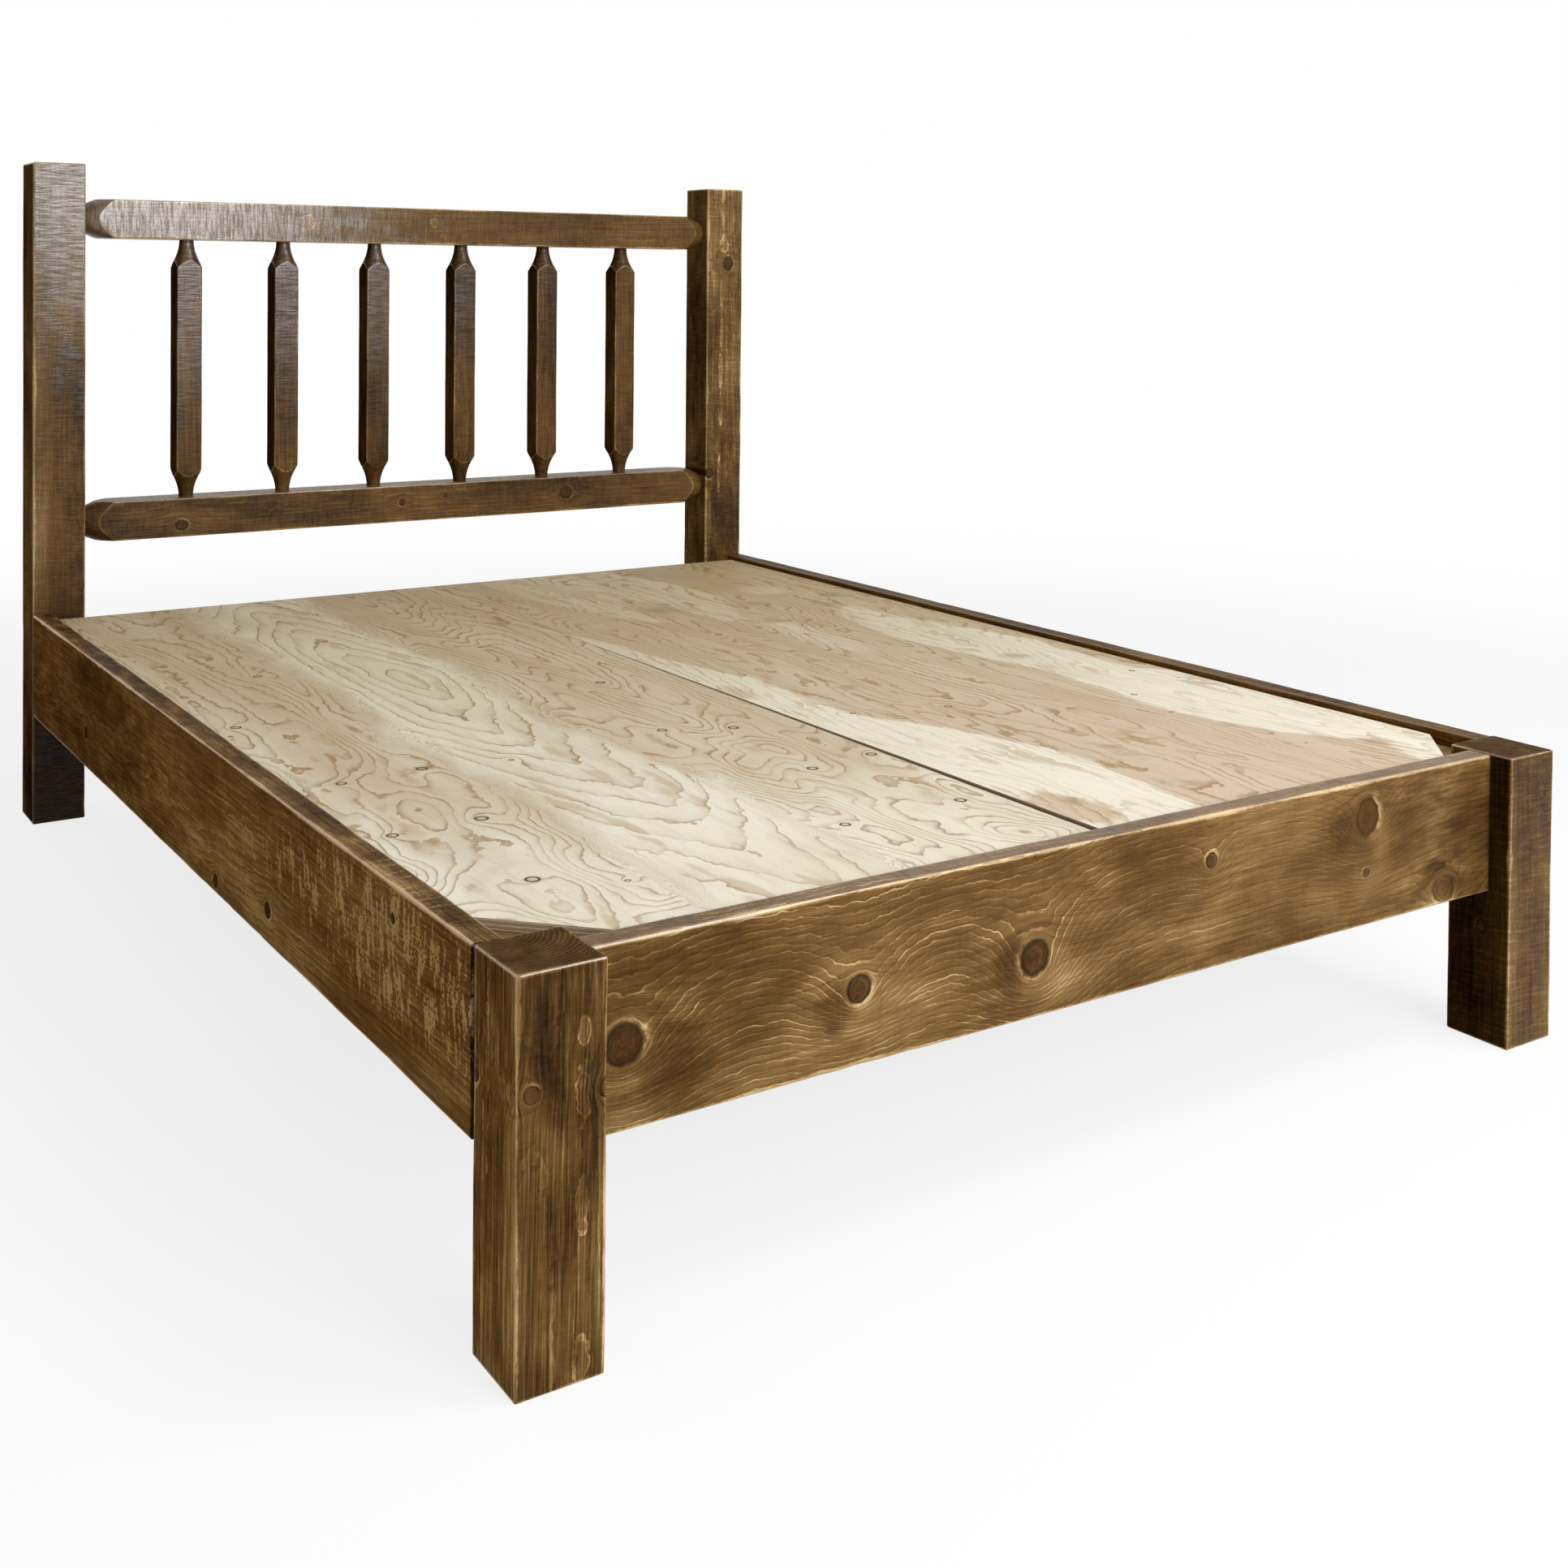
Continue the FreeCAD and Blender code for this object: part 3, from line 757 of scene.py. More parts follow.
def ply_edge(point, z):
    """The plies on a panel's edge: every second one shows its end grain, with a dark line of glue between."""
    low, high = (corner.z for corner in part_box("deck_panel_left"))
    ply = (z - low) / (high - low) * bpy.context.scene.bed_deck.ply_count + grainy(point, 40.0, 2.0) * 0.3
    glue = slope(abs(fraction(ply) - 0.5), 0.38, 0.48)
    torn = grainy(point * (90.0, 90.0, 900.0), 1.0, 3.0, 0.65)
    edge = mixed(whole(ply) % 2.0, rgba((0.46, 0.36, 0.24)), rgba((0.30, 0.21, 0.125)))
    edge = mixed(slope(torn, 0.5, 0.75) * 0.6, edge, rgba((0.14, 0.085, 0.045)))
    return mixed(glue * 0.75, edge, rgba((0.075, 0.04, 0.02)))


def plywood(name, side, knots, smudges=()):
    """Bare rotary-cut softwood plywood. The left panel has a wild figure round one long pale oval,
    and the right one broad pale bands of sapwood."""
    look = bpy.context.scene.bed_deck
    made, tree, shader, point = new_material(name)
    x, y, z = parts_of(point)
    flat = joined(x, y, 0.0)
    swell, ring, core = veneer_knots(flat, knots)
    jag = cloudy(flat, 34.0, 26.0, 2.0, 0.6)
    blur = cloudy(flat, 15.0, 6.0, 3.0, 0.6)
    if side < 0:
        phase, pale, filled, strength, start = oval_figure(x, y, flat, jag, blur)
    else:
        x_soft = blur * 0.055 + x
        bare = sapwood_bands(y, x_soft, joined(x_soft, jag * 0.05 + y, 0.0))
        phase, pale, filled, strength, start = banded_figure(x, flat, jag, bare)

    part = fraction(phase + swell)
    fall = slope(part, 0.972, 1.0, 1.0, 0.0)
    crisp = slope(part, start, 0.95) * fall
    shade = slope(part, 0.35, 0.95) * fall
    uneven = slope(cloudy(flat, 26.0, 7.0), -0.14, 0.12, 0.22, 1.0)
    line = crisp * uneven * strength
    fibre = grainy(flat * (900.0, 22.0, 1.0), 1.0, 2.0, 0.6)
    dash = slope(grainy(flat * (330.0, 34.0, 1.0), 1.0, 1.0), 0.68, 0.76)
    streak = slope(cloudy(flat, 95.0, 6.0, 2.0), 0.0, 0.2)

    figure = rgba(look.figure)
    colour = mixed(pale, rgba(look.heartwood), rgba(look.sapwood))
    colour = mixed(shade * (strength * 0.32 + 0.04), colour, rgba(look.heartwood, 0.76))
    colour = mixed(filled * slope(part, 0.1, 0.4) * 0.45, colour, rgba((0.47, 0.33, 0.17)))
    for amount in (smaller(line * 1.15, 1.0), slope(fibre, 0.45, 0.75) * 0.12, streak * 0.13, dash * 0.36):
        colour = mixed(amount, colour, figure)
    if side > 0:
        rosy = slope(blur * 0.8 + y, -0.3, -0.8) * (1.0 - bare)
        colour = mixed(rosy * 0.35, colour, rgba((1.06, 1.02, 1.15)), "MULTIPLY")
    for x_at, y_at, radius in smudges:
        smudge = lobe(joined(jag * 0.05 + x, y, 0.0), (x_at, y_at), (radius, radius * 1.15), 0.75)
        colour = mixed(smudge * 0.55, colour, rgba((0.33, 0.225, 0.115)))
    colour = mixed(slope(core, 0.0, 1.4) * 0.5, colour, rgba((0.44, 0.29, 0.155)))
    colour = mixed(slope(ring, 0.05, 0.6) * 0.95, colour, rgba((0.04, 0.022, 0.010)))
    # Painted shade: the veneer darkens and yellows towards the head, where less light reaches
    colour = mixed(slope(y, -0.9, 1.0) * 0.75, colour, rgba((0.80, 0.72, 0.53)), "MULTIPLY")

    on_edge = slope(abs(parts_of(facing_way(tree))[2]), 0.35, 0.75, 1.0, 0.0)
    put(shader.inputs["Base Color"], mixed(on_edge, colour, ply_edge(point, z)))
    put(shader.inputs["Roughness"], fibre * 0.16 + 0.55)
    put(shader.inputs["Specular IOR Level"], 0.2)
    height = crisp * 0.04 - fibre * 0.5 - slope(ring, 0.2, 0.9) * 1.2
    put(shader.inputs["Normal"], bumped(height, 0.00035, 0.6))
    return made


def steel():
    """Zinc-plated steel with faint brushing and tarnish."""
    made, _, shader, point = new_material("plated_steel")
    brushed = grainy(point * (400.0, 400.0, 60.0), 1.0, 2.0)
    tarnish = slope(grainy(point, 60.0, 3.0), 0.45, 0.7)
    put(shader.inputs["Base Color"], mixed(tarnish, rgba((0.62, 0.62, 0.6)), rgba((0.4, 0.38, 0.34))))
    put(shader.inputs["Roughness"], tarnish * 0.2 + (brushed * 0.2 + 0.2))
    put(shader.inputs["Normal"], bumped(brushed, 0.0001, 0.4))
    put(shader.inputs["Metallic"], 1.0)
    return made


def felt():
    """Pressed felt of the leg pads."""
    made, _, shader, point = new_material("felt")
    hairs = grainy(point, 900.0, 3.0, 0.7)
    put(shader.inputs["Base Color"], mixed(hairs, rgba((0.035, 0.03, 0.026)), rgba((0.11, 0.095, 0.08))))
    put(shader.inputs["Normal"], bumped(hairs, 0.0006, 0.8))
    put(shader.inputs["Roughness"], 0.95)
    put(shader.inputs["Sheen Weight"], 0.3)
    return made


# Meshes


def stand(name, data):
    """An object with its data, in the scene."""
    made = bpy.data.objects.new(name, data)
    bpy.context.scene.collection.objects.link(made)
    return made


def from_work(name, work):
    """A mesh from a finished bmesh."""
    mesh = bpy.data.meshes.new(name)
    work.to_mesh(mesh)
    work.free()
    return mesh


def mesh_piece(name, vertices, faces, arris=None, smooth=True):
    """A piece from vertices, faces and its arris value at each vertex."""
    mesh = bpy.data.meshes.new(name)
    mesh.from_pydata([tuple(v) for v in vertices], [], faces)
    if arris is not None:
        values = np.asarray(arris, np.float32)
        mesh.attributes.new(ARRIS, "FLOAT", "POINT").data.foreach_set("value", values)
    mesh.validate()
    work = bmesh.new()
    work.from_mesh(mesh)
    bmesh.ops.recalc_face_normals(work, faces=work.faces[:])
    work.to_mesh(mesh)
    work.free()
    if smooth:
        mesh.shade_smooth()
    return stand(name, mesh)


def tube_faces(rows, count):
    """Faces of a closed tube from rows with a count of vertices each, and a cap at either end."""
    faces = []
    for row in range(rows - 1):
        first, second = row * count, (row + 1) * count
        for i in range(count):
            j = (i + 1) % count
            faces.append((first + i, first + j, second + j, second + i))
    faces.append(tuple(reversed(range(count))))
    faces.append(tuple((rows - 1) * count + i for i in range(count)))
    return faces


def dress(piece, material, nodes, body="root"):
    """Give a piece its material and let it stand for CAD nodes on a body."""
    piece.data.materials.clear()
    piece.data.materials.append(material)
    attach(piece, body)
    if nodes:
        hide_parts(*nodes)


def finish_node(name, material):
    """Give a carried-over CAD node its material."""
    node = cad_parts[name]
    if not node.data.materials:
        node.data.materials.append(material)
    for place in node.material_slots:
        place.material = material


def waver_at(point, seed):
    """A slow and a quick unevenness between about -1 and 1."""
    at = Vector(point)
    return 0.8 * noise.noise(at * 6.5 + Vector((seed, 2.1 * seed, 0.0))) + 0.3 * noise.noise(
        at * 33.0 + Vector((0.0, seed, 3.3 * seed)))


def spread(length, count, near=(0.002, 0.007)):
    """Places along a length, close together near both ends, with a count of even gaps between."""
    inner = [min(near[0], length * 0.12), min(near[1], length * 0.3)]
    start, end = inner[-1], length - inner[-1]
    middle = [start + (end - start) * i / count for i in range(1, count)]
    return inner + middle + [length - n for n in reversed(inner)]


# How worn an arris and an end's edge are, at five places round their quarter turn
ARRIS_WEAR = (0.72, 0.95, 1.0, 0.95, 0.72)
END_WEAR = (0.7, 0.95, 1.0, 0.95, 0.7)


def section(half_a, half_b, radii, counts):
    """A bar's section: offsets from its axis, outward directions and arris values, going round once."""
    points, outward, worn = [], [], []
    for k, (sa, sb, start) in enumerate(((1, 1, 0), (-1, 1, 90), (-1, -1, 180), (1, -1, 270))):
        radius = radii[k]
        centre = (sa * (half_a - radius), sb * (half_b - radius))
        for i, value in enumerate(ARRIS_WEAR):
            angle = math.radians(start + 22.5 * i)
            direction = (math.cos(angle), math.sin(angle))
            points.append((centre[0] + radius * direction[0], centre[1] + radius * direction[1]))
            outward.append(direction)
            worn.append(value)
        run = (-direction[1], direction[0])
        begin = points[-1]
        full = 2 * (half_a if k in (0, 2) else half_b)
        marks = spread(full - radius - radii[(k + 1) % 4], counts[k % 2])
        for j, mark in enumerate(marks):
            points.append((begin[0] + run[0] * mark, begin[1] + run[1] * mark))
            outward.append(direction)
            worn.append(0.4 if j in (0, len(marks) - 1) else 0.0)
    return points, outward, worn


def eased_end(arris):
    """Loops that round off an end: how far in, how much narrower and how worn each is."""
    loops = []
    for i, wear in enumerate(END_WEAR):
        angle = math.radians(90.0 - 22.5 * i)
        loops.append((arris * (1 - math.sin(angle)), arris * (1 - math.cos(angle)), wear))
    return loops


def loops_along(length, arris, eased, step):
    """The loops of a timber from end to end: how far along, how much narrower and how worn each is."""
    start = eased_end(arris) if eased else [(0.0, 0.0, 0.0)]
    clear = length - 2 * arris
    middle = []
    for mark in spread(clear, max(2, round(length / step))):
        by_arris = eased and min(mark, clear - mark) < 0.003
        middle.append((arris + mark, 0.0, 0.4 if by_arris else 0.0))
    return start + middle + [(length - at, inset, wear) for at, inset, wear in reversed(start)]


def wear_along(at, seed, corner):
    """How much wider than usual an arris is worn at a place along it, with a dent here and there."""
    wide = noise.noise(Vector((seed * 3.7 + corner * 11.3, at * 7.0, 0.5)))
    dent = max(0.0, noise.noise(Vector((at * 21.0, seed + corner * 5.1, 9.7))) - 0.38)
    return min(2.4, max(0.55, 1.0 + 0.9 * wide + 3.2 * dent))


def timber(name, low, high, grain, seed, eased=True, bury=0.0, face_step=0.016, ring_step=0.015, arris=None,
           end_share=1.0):
    """A hewn bar between two corners: worn arrises of changing radius, uneven faces and eased ends. A bar
    that isn't eased is buried a little in the pieces at its ends."""
    look = bpy.context.scene.bed_timber
    arris = look.arris if arris is None else arris
    axis = AXIS_INDEX[grain]
    a, b = (axis + 1) % 3, (axis + 2) % 3
    half_a, half_b = (high[a] - low[a]) / 2, (high[b] - low[b]) / 2
    centre_a, centre_b = (high[a] + low[a]) / 2, (high[b] + low[b]) / 2
    start = low[axis] - bury
    length = high[axis] + bury - start
    counts = [max(2, round((2 * half - 0.02) / face_step)) for half in (half_a, half_b)]
    deep = min(arris + 0.007, half_a * 0.6, half_b * 0.6)
    caps = [(deep, 0.0), (arris + 0.002, 0.4)] if eased else []
    loops = [(0.0, inset, 0.0, worn) for inset, worn in caps]
    loops += [(*loop, None) for loop in loops_along(length, arris, eased, ring_step)]
    loops += [(length, inset, 0.0, worn) for inset, worn in reversed(caps)]

    vertices, worn = [], []
    for at, inset, end_wear, cap_wear in loops:
        radii = [max(0.0004, arris * wear_along(at, seed, k) - inset * 0.6) for k in range(4)]
        ring = list(zip(*section(half_a - inset, half_b - inset, radii, counts)))
        for (pa, pb), (na, nb), value in ring:
            spot = [0.0, 0.0, 0.0]
            spot[axis], spot[a], spot[b] = start + at, centre_a + pa, centre_b + pb
            if cap_wear is None:
                push = look.unevenness * waver_at(spot, seed)
                spot[a] += na * push
                spot[b] += nb * push
                worn.append(max(value, end_wear * end_share))
            else:
                worn.append(cap_wear * end_share)
            vertices.append(spot)
    return mesh_piece(name, vertices, tube_faces(len(loops), len(ring)), worn)


def from_flat(angle):
    """How many degrees an angle lies from the nearest flat of a square, up to 45 at a corner."""
    return abs((math.degrees(angle) + 45.0) % 90.0 - 45.0)


def square_reach(angle, half, radius):
    """How far a square with rounded corners reaches from its middle at an angle."""
    turn = math.radians(from_flat(angle))
    if half * math.tan(turn) <= half - radius:
        return half / math.cos(turn)
    flat = half - radius
    near = flat * (math.cos(turn) + math.sin(turn))
    return near + math.sqrt(max(0.0, near * near - 2 * flat * flat + radius * radius))


class Hollow:
    """The hollow turned at the end of a square bar: an arc from a round neck out to the bar's corners."""

    def __init__(self, half, neck, length, sag):
        self.neck, self.length = neck, length
        self.tip = half * math.sqrt(2.0) + 0.0006
        rise = self.tip - neck
        chord = math.hypot(length, rise)
        self.bend = (chord * chord / 4 + sag * sag) / (2 * sag)
        off_chord = (self.bend - sag) / chord
        self.middle = ((neck + self.tip) / 2 + length * off_chord, length / 2 - rise * off_chord)

    def radius(self, height):
        """How wide it is at a height above the neck."""
        if height <= 0.0:
            return self.neck
        if height >= self.length:
            return self.tip
        return self.middle[0] - math.sqrt(max(0.0, self.bend ** 2 - (height - self.middle[1]) ** 2))

    def height(self, radius):
        """How far above the neck it is as wide as a radius."""
        low, high = 0.0, self.length
        for _ in range(40):
            half_way = (low + high) / 2
            low, high = (half_way, high) if self.radius(half_way) < radius else (low, half_way)
        return low


def cove_column(hollow, reach, length, flat_marks):
    """Where the vertices of one column along a coved bar lie, and how worn each is."""
    bury, run_out = 0.003, hollow.length + 0.006
    high = min(hollow.height(reach), hollow.length - 0.0012)
    near = [(-bury, 0.0), (0.0, 0.0)] + [(high * s, 0.0) for s in (0.2, 0.4, 0.6, 0.8, 0.92)]
    rim = ((-0.0011, 0.5), (-0.0004, 0.9), (0.0004, 0.9), (0.0011, 0.5))
    near += [(high + off, worn) for off, worn in rim]
    near += [(high + (run_out - high) * s, 0.0) for s in (0.3, 0.65, 1.0)]
    flat = [(run_out + mark, 0.0) for mark in flat_marks]
    return near + flat + [(length - z, worn) for z, worn in reversed(near)]


def coved_bar(name, centre, half, length, neck, cove, sag, grain, seed):
    """A square bar with a hollow turned at both ends down to a round neck. Its length is the bare length
    between the pieces that its tenons enter, and it lies with its middle at a centre."""
    look = bpy.context.scene.bed_timber
    corner, step, soft = 0.0022, 0.016, 0.0009
    axis = AXIS_INDEX[grain]
    a, b = (axis + 1) % 3, (axis + 2) % 3
    hollow = Hollow(half, neck, cove, sag)
    rising = [math.degrees(math.atan(s)) for s in (0.0, 0.22, 0.42, 0.60, 0.75, 0.87, 0.93, 0.965, 0.985)]
    turns = rising + [45.0] + [90.0 - turn for turn in reversed(rising[1:])]
    angles = [math.radians(90.0 * quarter + turn) for quarter in range(4) for turn in turns]
    flat_marks = spread(length - 2 * cove - 0.012, round(length / step), (0.004, 0.010))
    columns = [cove_column(hollow, square_reach(angle, half, corner), length, flat_marks) for angle in angles]

    vertices, worn = [], []
    for row in zip(*columns):
        for angle, (z, value) in zip(angles, row):
            sharp = max(0.0, 1.0 - (45.0 - from_flat(angle)) / 6.0)
            near_end = min(z, length - z)
            quarter = round(math.degrees(angle) / 90.0)
            wide = 1.0 + 0.8 * noise.noise(Vector((seed * 5.3 + quarter, z * 9.0, 1.7)))
            reach = square_reach(angle, half, corner * max(0.5, wide))
            turned = hollow.radius(near_end) if near_end < cove + 0.002 else hollow.tip + 1.0
            radius = 0.5 * (reach + turned - math.hypot(reach - turned, soft))
            spot = [0.0, 0.0, 0.0]
            spot[axis] = centre[axis] - length / 2 + z
            spot[a] = centre[a] + radius * math.cos(angle)
            spot[b] = centre[b] + radius * math.sin(angle)
            push = look.unevenness * 0.6 * waver_at(spot, seed) * min(1.0, max(0.0, near_end / 0.02))
            spot[a] += push * math.cos(angle)
            spot[b] += push * math.sin(angle)
            vertices.append(spot)
            worn.append(max(value, sharp * (1.0 if turned > reach + 0.0015 else 0.35)))
    return mesh_piece(name, vertices, tube_faces(len(columns[0]), len(angles)), worn)


# The seam of the deck: its X, half its gap where it is closed and at the foot, and the Y where it closes
SEAM_X, SEAM_CLOSED, SEAM_AT_FOOT, SEAM_CLOSES_AT = 0.01, 0.0004, 0.0065, 0.36


def panel_board(name, node):
    """A plywood panel cut to its CAD node's outline, with eased edges. Its seam with the other panel closes
    to a hairline before the head, as the two boards lie a little askew."""
    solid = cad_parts[node].data
    low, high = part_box(node)
    corners = {(round(v.co.x, 5), round(v.co.y, 5)) for v in solid.vertices}
    middle = Vector((sum(x for x, _ in corners) / len(corners), sum(y for _, y in corners) / len(corners)))
    head = min(corners, key=lambda c: abs(c[0] - SEAM_X) - c[1])
    foot = min(corners, key=lambda c: abs(c[0] - SEAM_X) + c[1])
    side = math.copysign(1.0, head[0] - SEAM_X)
    corners -= {head, foot}
    corners |= {(SEAM_X + side * SEAM_CLOSED, head[1]), (SEAM_X + side * SEAM_CLOSED, SEAM_CLOSES_AT),
                (SEAM_X + side * SEAM_AT_FOOT, foot[1])}
    outline = sorted(corners, key=lambda c: math.atan2(c[1] - middle.y, c[0] - middle.x))
    work = bmesh.new()
    top = work.faces.new([work.verts.new((x, y, high.z)) for x, y in outline])
    extruded = bmesh.ops.extrude_face_region(work, geom=[top])
    for item in extruded["geom"]:
        if isinstance(item, bmesh.types.BMVert):
            item.co.z = low.z
    bmesh.ops.recalc_face_normals(work, faces=work.faces[:])
    bmesh.ops.bevel(work, geom=work.edges[:], offset=bpy.context.scene.bed_deck.edge_ease, segments=2,
                    profile=0.6, affect="EDGES")
    return stand(name, from_work(name, work))


# Geometry Nodes for what repeats


def evaluated(name, tree, source, values):
    """Run a node tree on a source mesh and keep the result as a plain mesh at the origin."""
    holder = stand(name, source)
    modifier = holder.modifiers.new("repeat", "NODES")
    modifier.node_group = tree
    sockets = {item.name: item.identifier for item in tree.interface.items_tree
               if getattr(item, "in_out", "") == "INPUT"}
    for key, value in values.items():
        modifier[sockets[key]] = value
    bpy.context.view_layer.update()
    depsgraph = bpy.context.evaluated_depsgraph_get()
    result = bpy.data.meshes.new_from_object(holder.evaluated_get(depsgraph), depsgraph=depsgraph)
    holder.modifiers.clear()
    holder.data = result
    result.name = name
    return holder


def made_real(copies, material):
    """Copies turned into plain geometry with a material."""
    real = field(copies.tree, "GeometryNodeRealizeInstances", {"Geometry": copies})
    return field(copies.tree, "GeometryNodeSetMaterial", {"Geometry": real, "Material": material})


def row_tree(name):
    """A tree that repeats the object given to it in a row, each copy turned by quarter turns and
    with its own shift of the figure."""
    tree, given, out = new_group(
        name, "GeometryNodeTree",
        {"Geometry": ("NodeSocketGeometry", None), "Board": ("NodeSocketObject", None),
         "Count": ("NodeSocketInt", 6), "Start": (VECTOR, ORIGIN), "Step": (VECTOR, (0.1, 0.0, 0.0)),
         "Turn Axis": (VECTOR, (0.0, 0.0, 1.0)), "Quarter Turns": ("NodeSocketInt", 4),
         "Shift": (FLOAT, 1.0), "Material": ("NodeSocketMaterial", None), "Seed": ("NodeSocketInt", 3)},
        {"Geometry": "NodeSocketGeometry"})
    line = field(tree, "GeometryNodeMeshLine", {"Count": given["Count"], "Start Location": given["Start"],
                                                "Offset": given["Step"]}, "Mesh", mode="OFFSET")
    turns = field(tree, "FunctionNodeRandomValue", {"Max": 3, "Seed": given["Seed"]}, 2, data_type="INT")
    quarter = smaller(turns, given["Quarter Turns"] - 1) * (math.pi / 2)
    angle = given["Turn Axis"] * joined(quarter, quarter, quarter)
    turned = field(tree, "FunctionNodeEulerToRotation", {"Euler": angle})
    board = field(tree, "GeometryNodeObjectInfo", {"Object": given["Board"]}, "Geometry")
    copies = field(tree, "GeometryNodeInstanceOnPoints", {
        "Points": line, "Instance": board, "Rotation": turned})
    own = field(tree, "FunctionNodeRandomValue", {
        0: (-1.0, -1.0, -1.0), 1: (1.0, 1.0, 1.0), "Seed": given["Seed"]}, data_type="FLOAT_VECTOR")
    stored = field(tree, "GeometryNodeStoreNamedAttribute", {
        "Geometry": copies, "Name": SHIFT, "Value": lengthened(own, given["Shift"])},
        data_type="FLOAT_VECTOR", domain="INSTANCE")
    put(out["Geometry"], made_real(stored, given["Material"]))
    return tree


def fixing_tree(name):
    """A tree that sets a copy of a fixing on each vertex, along the vertex's way attribute, with a
    random turn about its own axis."""
    tree, given, out = new_group(
        name, "GeometryNodeTree",
        {"Geometry": ("NodeSocketGeometry", None), "Fixing": ("NodeSocketObject", None),
         "Material": ("NodeSocketMaterial", None), "Seed": ("NodeSocketInt", 7)},
        {"Geometry": "NodeSocketGeometry"})
    way = field(tree, "GeometryNodeInputNamedAttribute", {"Name": WAY}, data_type="FLOAT_VECTOR")
    aim = field(tree, "FunctionNodeAlignRotationToVector", {"Vector": way}, axis="Z")
    spin = field(tree, "FunctionNodeRandomValue", {2: 0.0, 3: 6.283, "Seed": given["Seed"]}, 1,
                 data_type="FLOAT")
    twist = field(tree, "FunctionNodeEulerToRotation", {"Euler": joined(0.0, 0.0, spin)})
    turned = field(tree, "FunctionNodeRotateRotation", {"Rotation": aim, "Rotate By": twist},
                   rotation_space="LOCAL")
    shape = field(tree, "GeometryNodeObjectInfo", {"Object": given["Fixing"]}, "Geometry")
    copies = field(tree, "GeometryNodeInstanceOnPoints", {
        "Points": given["Geometry"], "Instance": shape, "Rotation": turned})
    put(out["Geometry"], made_real(copies, given["Material"]))
    return tree


def spots(name, places):
    """A mesh of lone vertices, each with the way that its fixing points."""
    mesh = bpy.data.meshes.new(name)
    mesh.from_pydata([place for place, _ in places], [], [])
    ways = np.array([way for _, way in places], np.float32).ravel()
    mesh.attributes.new(WAY, "FLOAT_VECTOR", "POINT").data.foreach_set("vector", ways)
    return mesh


def lathe(name, profile, steps):
    """A turned shape round Z from points given as radius and height, closed at both poles."""
    vertices = []
    for radius, height in profile:
        for i in range(steps):
            angle = 2 * math.pi * i / steps
            vertices.append((radius * math.cos(angle), radius * math.sin(angle), height))
    return mesh_piece(name, vertices, tube_faces(len(profile), steps), smooth=False)


def cross_slot(piece, width, length, depth, top):
    """Press a cross recess into the head of a screw."""
    work = bmesh.new()
    work.from_mesh(piece.data)
    cap = max(work.faces, key=lambda f: (f.calc_center_median().z, f.calc_area()))
    work.faces.remove(cap)
    rim = sorted((v for v in work.verts if abs(v.co.z - top) < 1e-6 and v.link_edges),
                 key=lambda v: math.atan2(v.co.y, v.co.x))
    outer = max(v.co.xy.length for v in rim)
    rim = [v for v in rim if abs(v.co.xy.length - outer) < 1e-6]
    half, reach = width / 2, length / 2
    cross = []
    for quarter in range(4):
        turn = math.radians(90 * quarter)
        for x, y in ((reach, -half), (reach, half), (half, half)):
            cross.append((x * math.cos(turn) - y * math.sin(turn), x * math.sin(turn) + y * math.cos(turn)))
    upper = [work.verts.new((x, y, top)) for x, y in cross]
    lower = [work.verts.new((x * 0.6, y * 0.8, top - depth)) for x, y in cross]
    edges = []
    for loop in (rim, upper):
        for v, w in zip(loop, loop[1:] + loop[:1]):
            edges.append(work.edges.get((v, w)) or work.edges.new((v, w)))
    bmesh.ops.triangle_fill(work, use_beauty=True, edges=edges)
    for i in range(len(cross)):
        j = (i + 1) % len(cross)
        work.faces.new((upper[i], upper[j], lower[j], lower[i]))
    work.faces.new(lower)
    bmesh.ops.recalc_face_normals(work, faces=work.faces[:])
    work.to_mesh(piece.data)
    work.free()


def drop(*pieces):
    """Remove helper objects."""
    for piece in pieces:
        bpy.data.objects.remove(piece)


# Floor, light and camera


def seen_rays(tree):
    """1 for the rays that show the backdrop: straight, in a shine or through glass."""
    rays = tree.nodes.new("ShaderNodeLightPath").outputs
    straight, shiny = Field(rays["Is Camera Ray"]), Field(rays["Is Glossy Ray"])
    return larger(larger(straight, shiny), Field(rays["Is Transmission Ray"]))


def lay_floor():
    """A pale floor that takes soft shadows near the bed and fades into the white backdrop."""
    work = bmesh.new()
    bmesh.ops.create_circle(work, cap_ends=True, radius=14.0, segments=96)
    floor = stand("floor", from_work("floor", work))
    made, tree, shader, point = new_material("pale_floor")
    seen = seen_rays(tree)
    put(shader.inputs["Base Color"], mixed(seen, rgba((0.40, 0.38, 0.36)), rgba((0.86, 0.86, 0.86))))
    put(shader.inputs["Roughness"], 0.8)
    put(shader.inputs["Specular IOR Level"], 0.1)
    fading = slope(length_of(point), 2.2, 5.0, 0.80, 1.0)
    backdrop = field(tree, "ShaderNodeEmission", {"Color": WHITE, "Strength": 1.0})
    both = field(tree, "ShaderNodeMixShader", {0: seen * fading, 1: shader.outputs[0], 2: backdrop})
    put(tree.get_output_node("ALL").inputs["Surface"], both)
    floor.data.materials.append(made)


def even_light(strength):
    """Even light from all round, before a backdrop that shows as plain white."""
    world = bpy.data.worlds.new("studio")
    world.use_nodes = True
    tree = world.node_tree
    tree.nodes.clear()
    light = field(tree, "ShaderNodeBackground", {"Color": WHITE, "Strength": strength})
    backdrop = field(tree, "ShaderNodeBackground", {"Color": WHITE, "Strength": 1.0})
    both = field(tree, "ShaderNodeMixShader", {0: seen_rays(tree), 1: light, 2: backdrop})
    add(tree, "ShaderNodeOutputWorld", {"Surface": both})
    bpy.context.scene.world = world


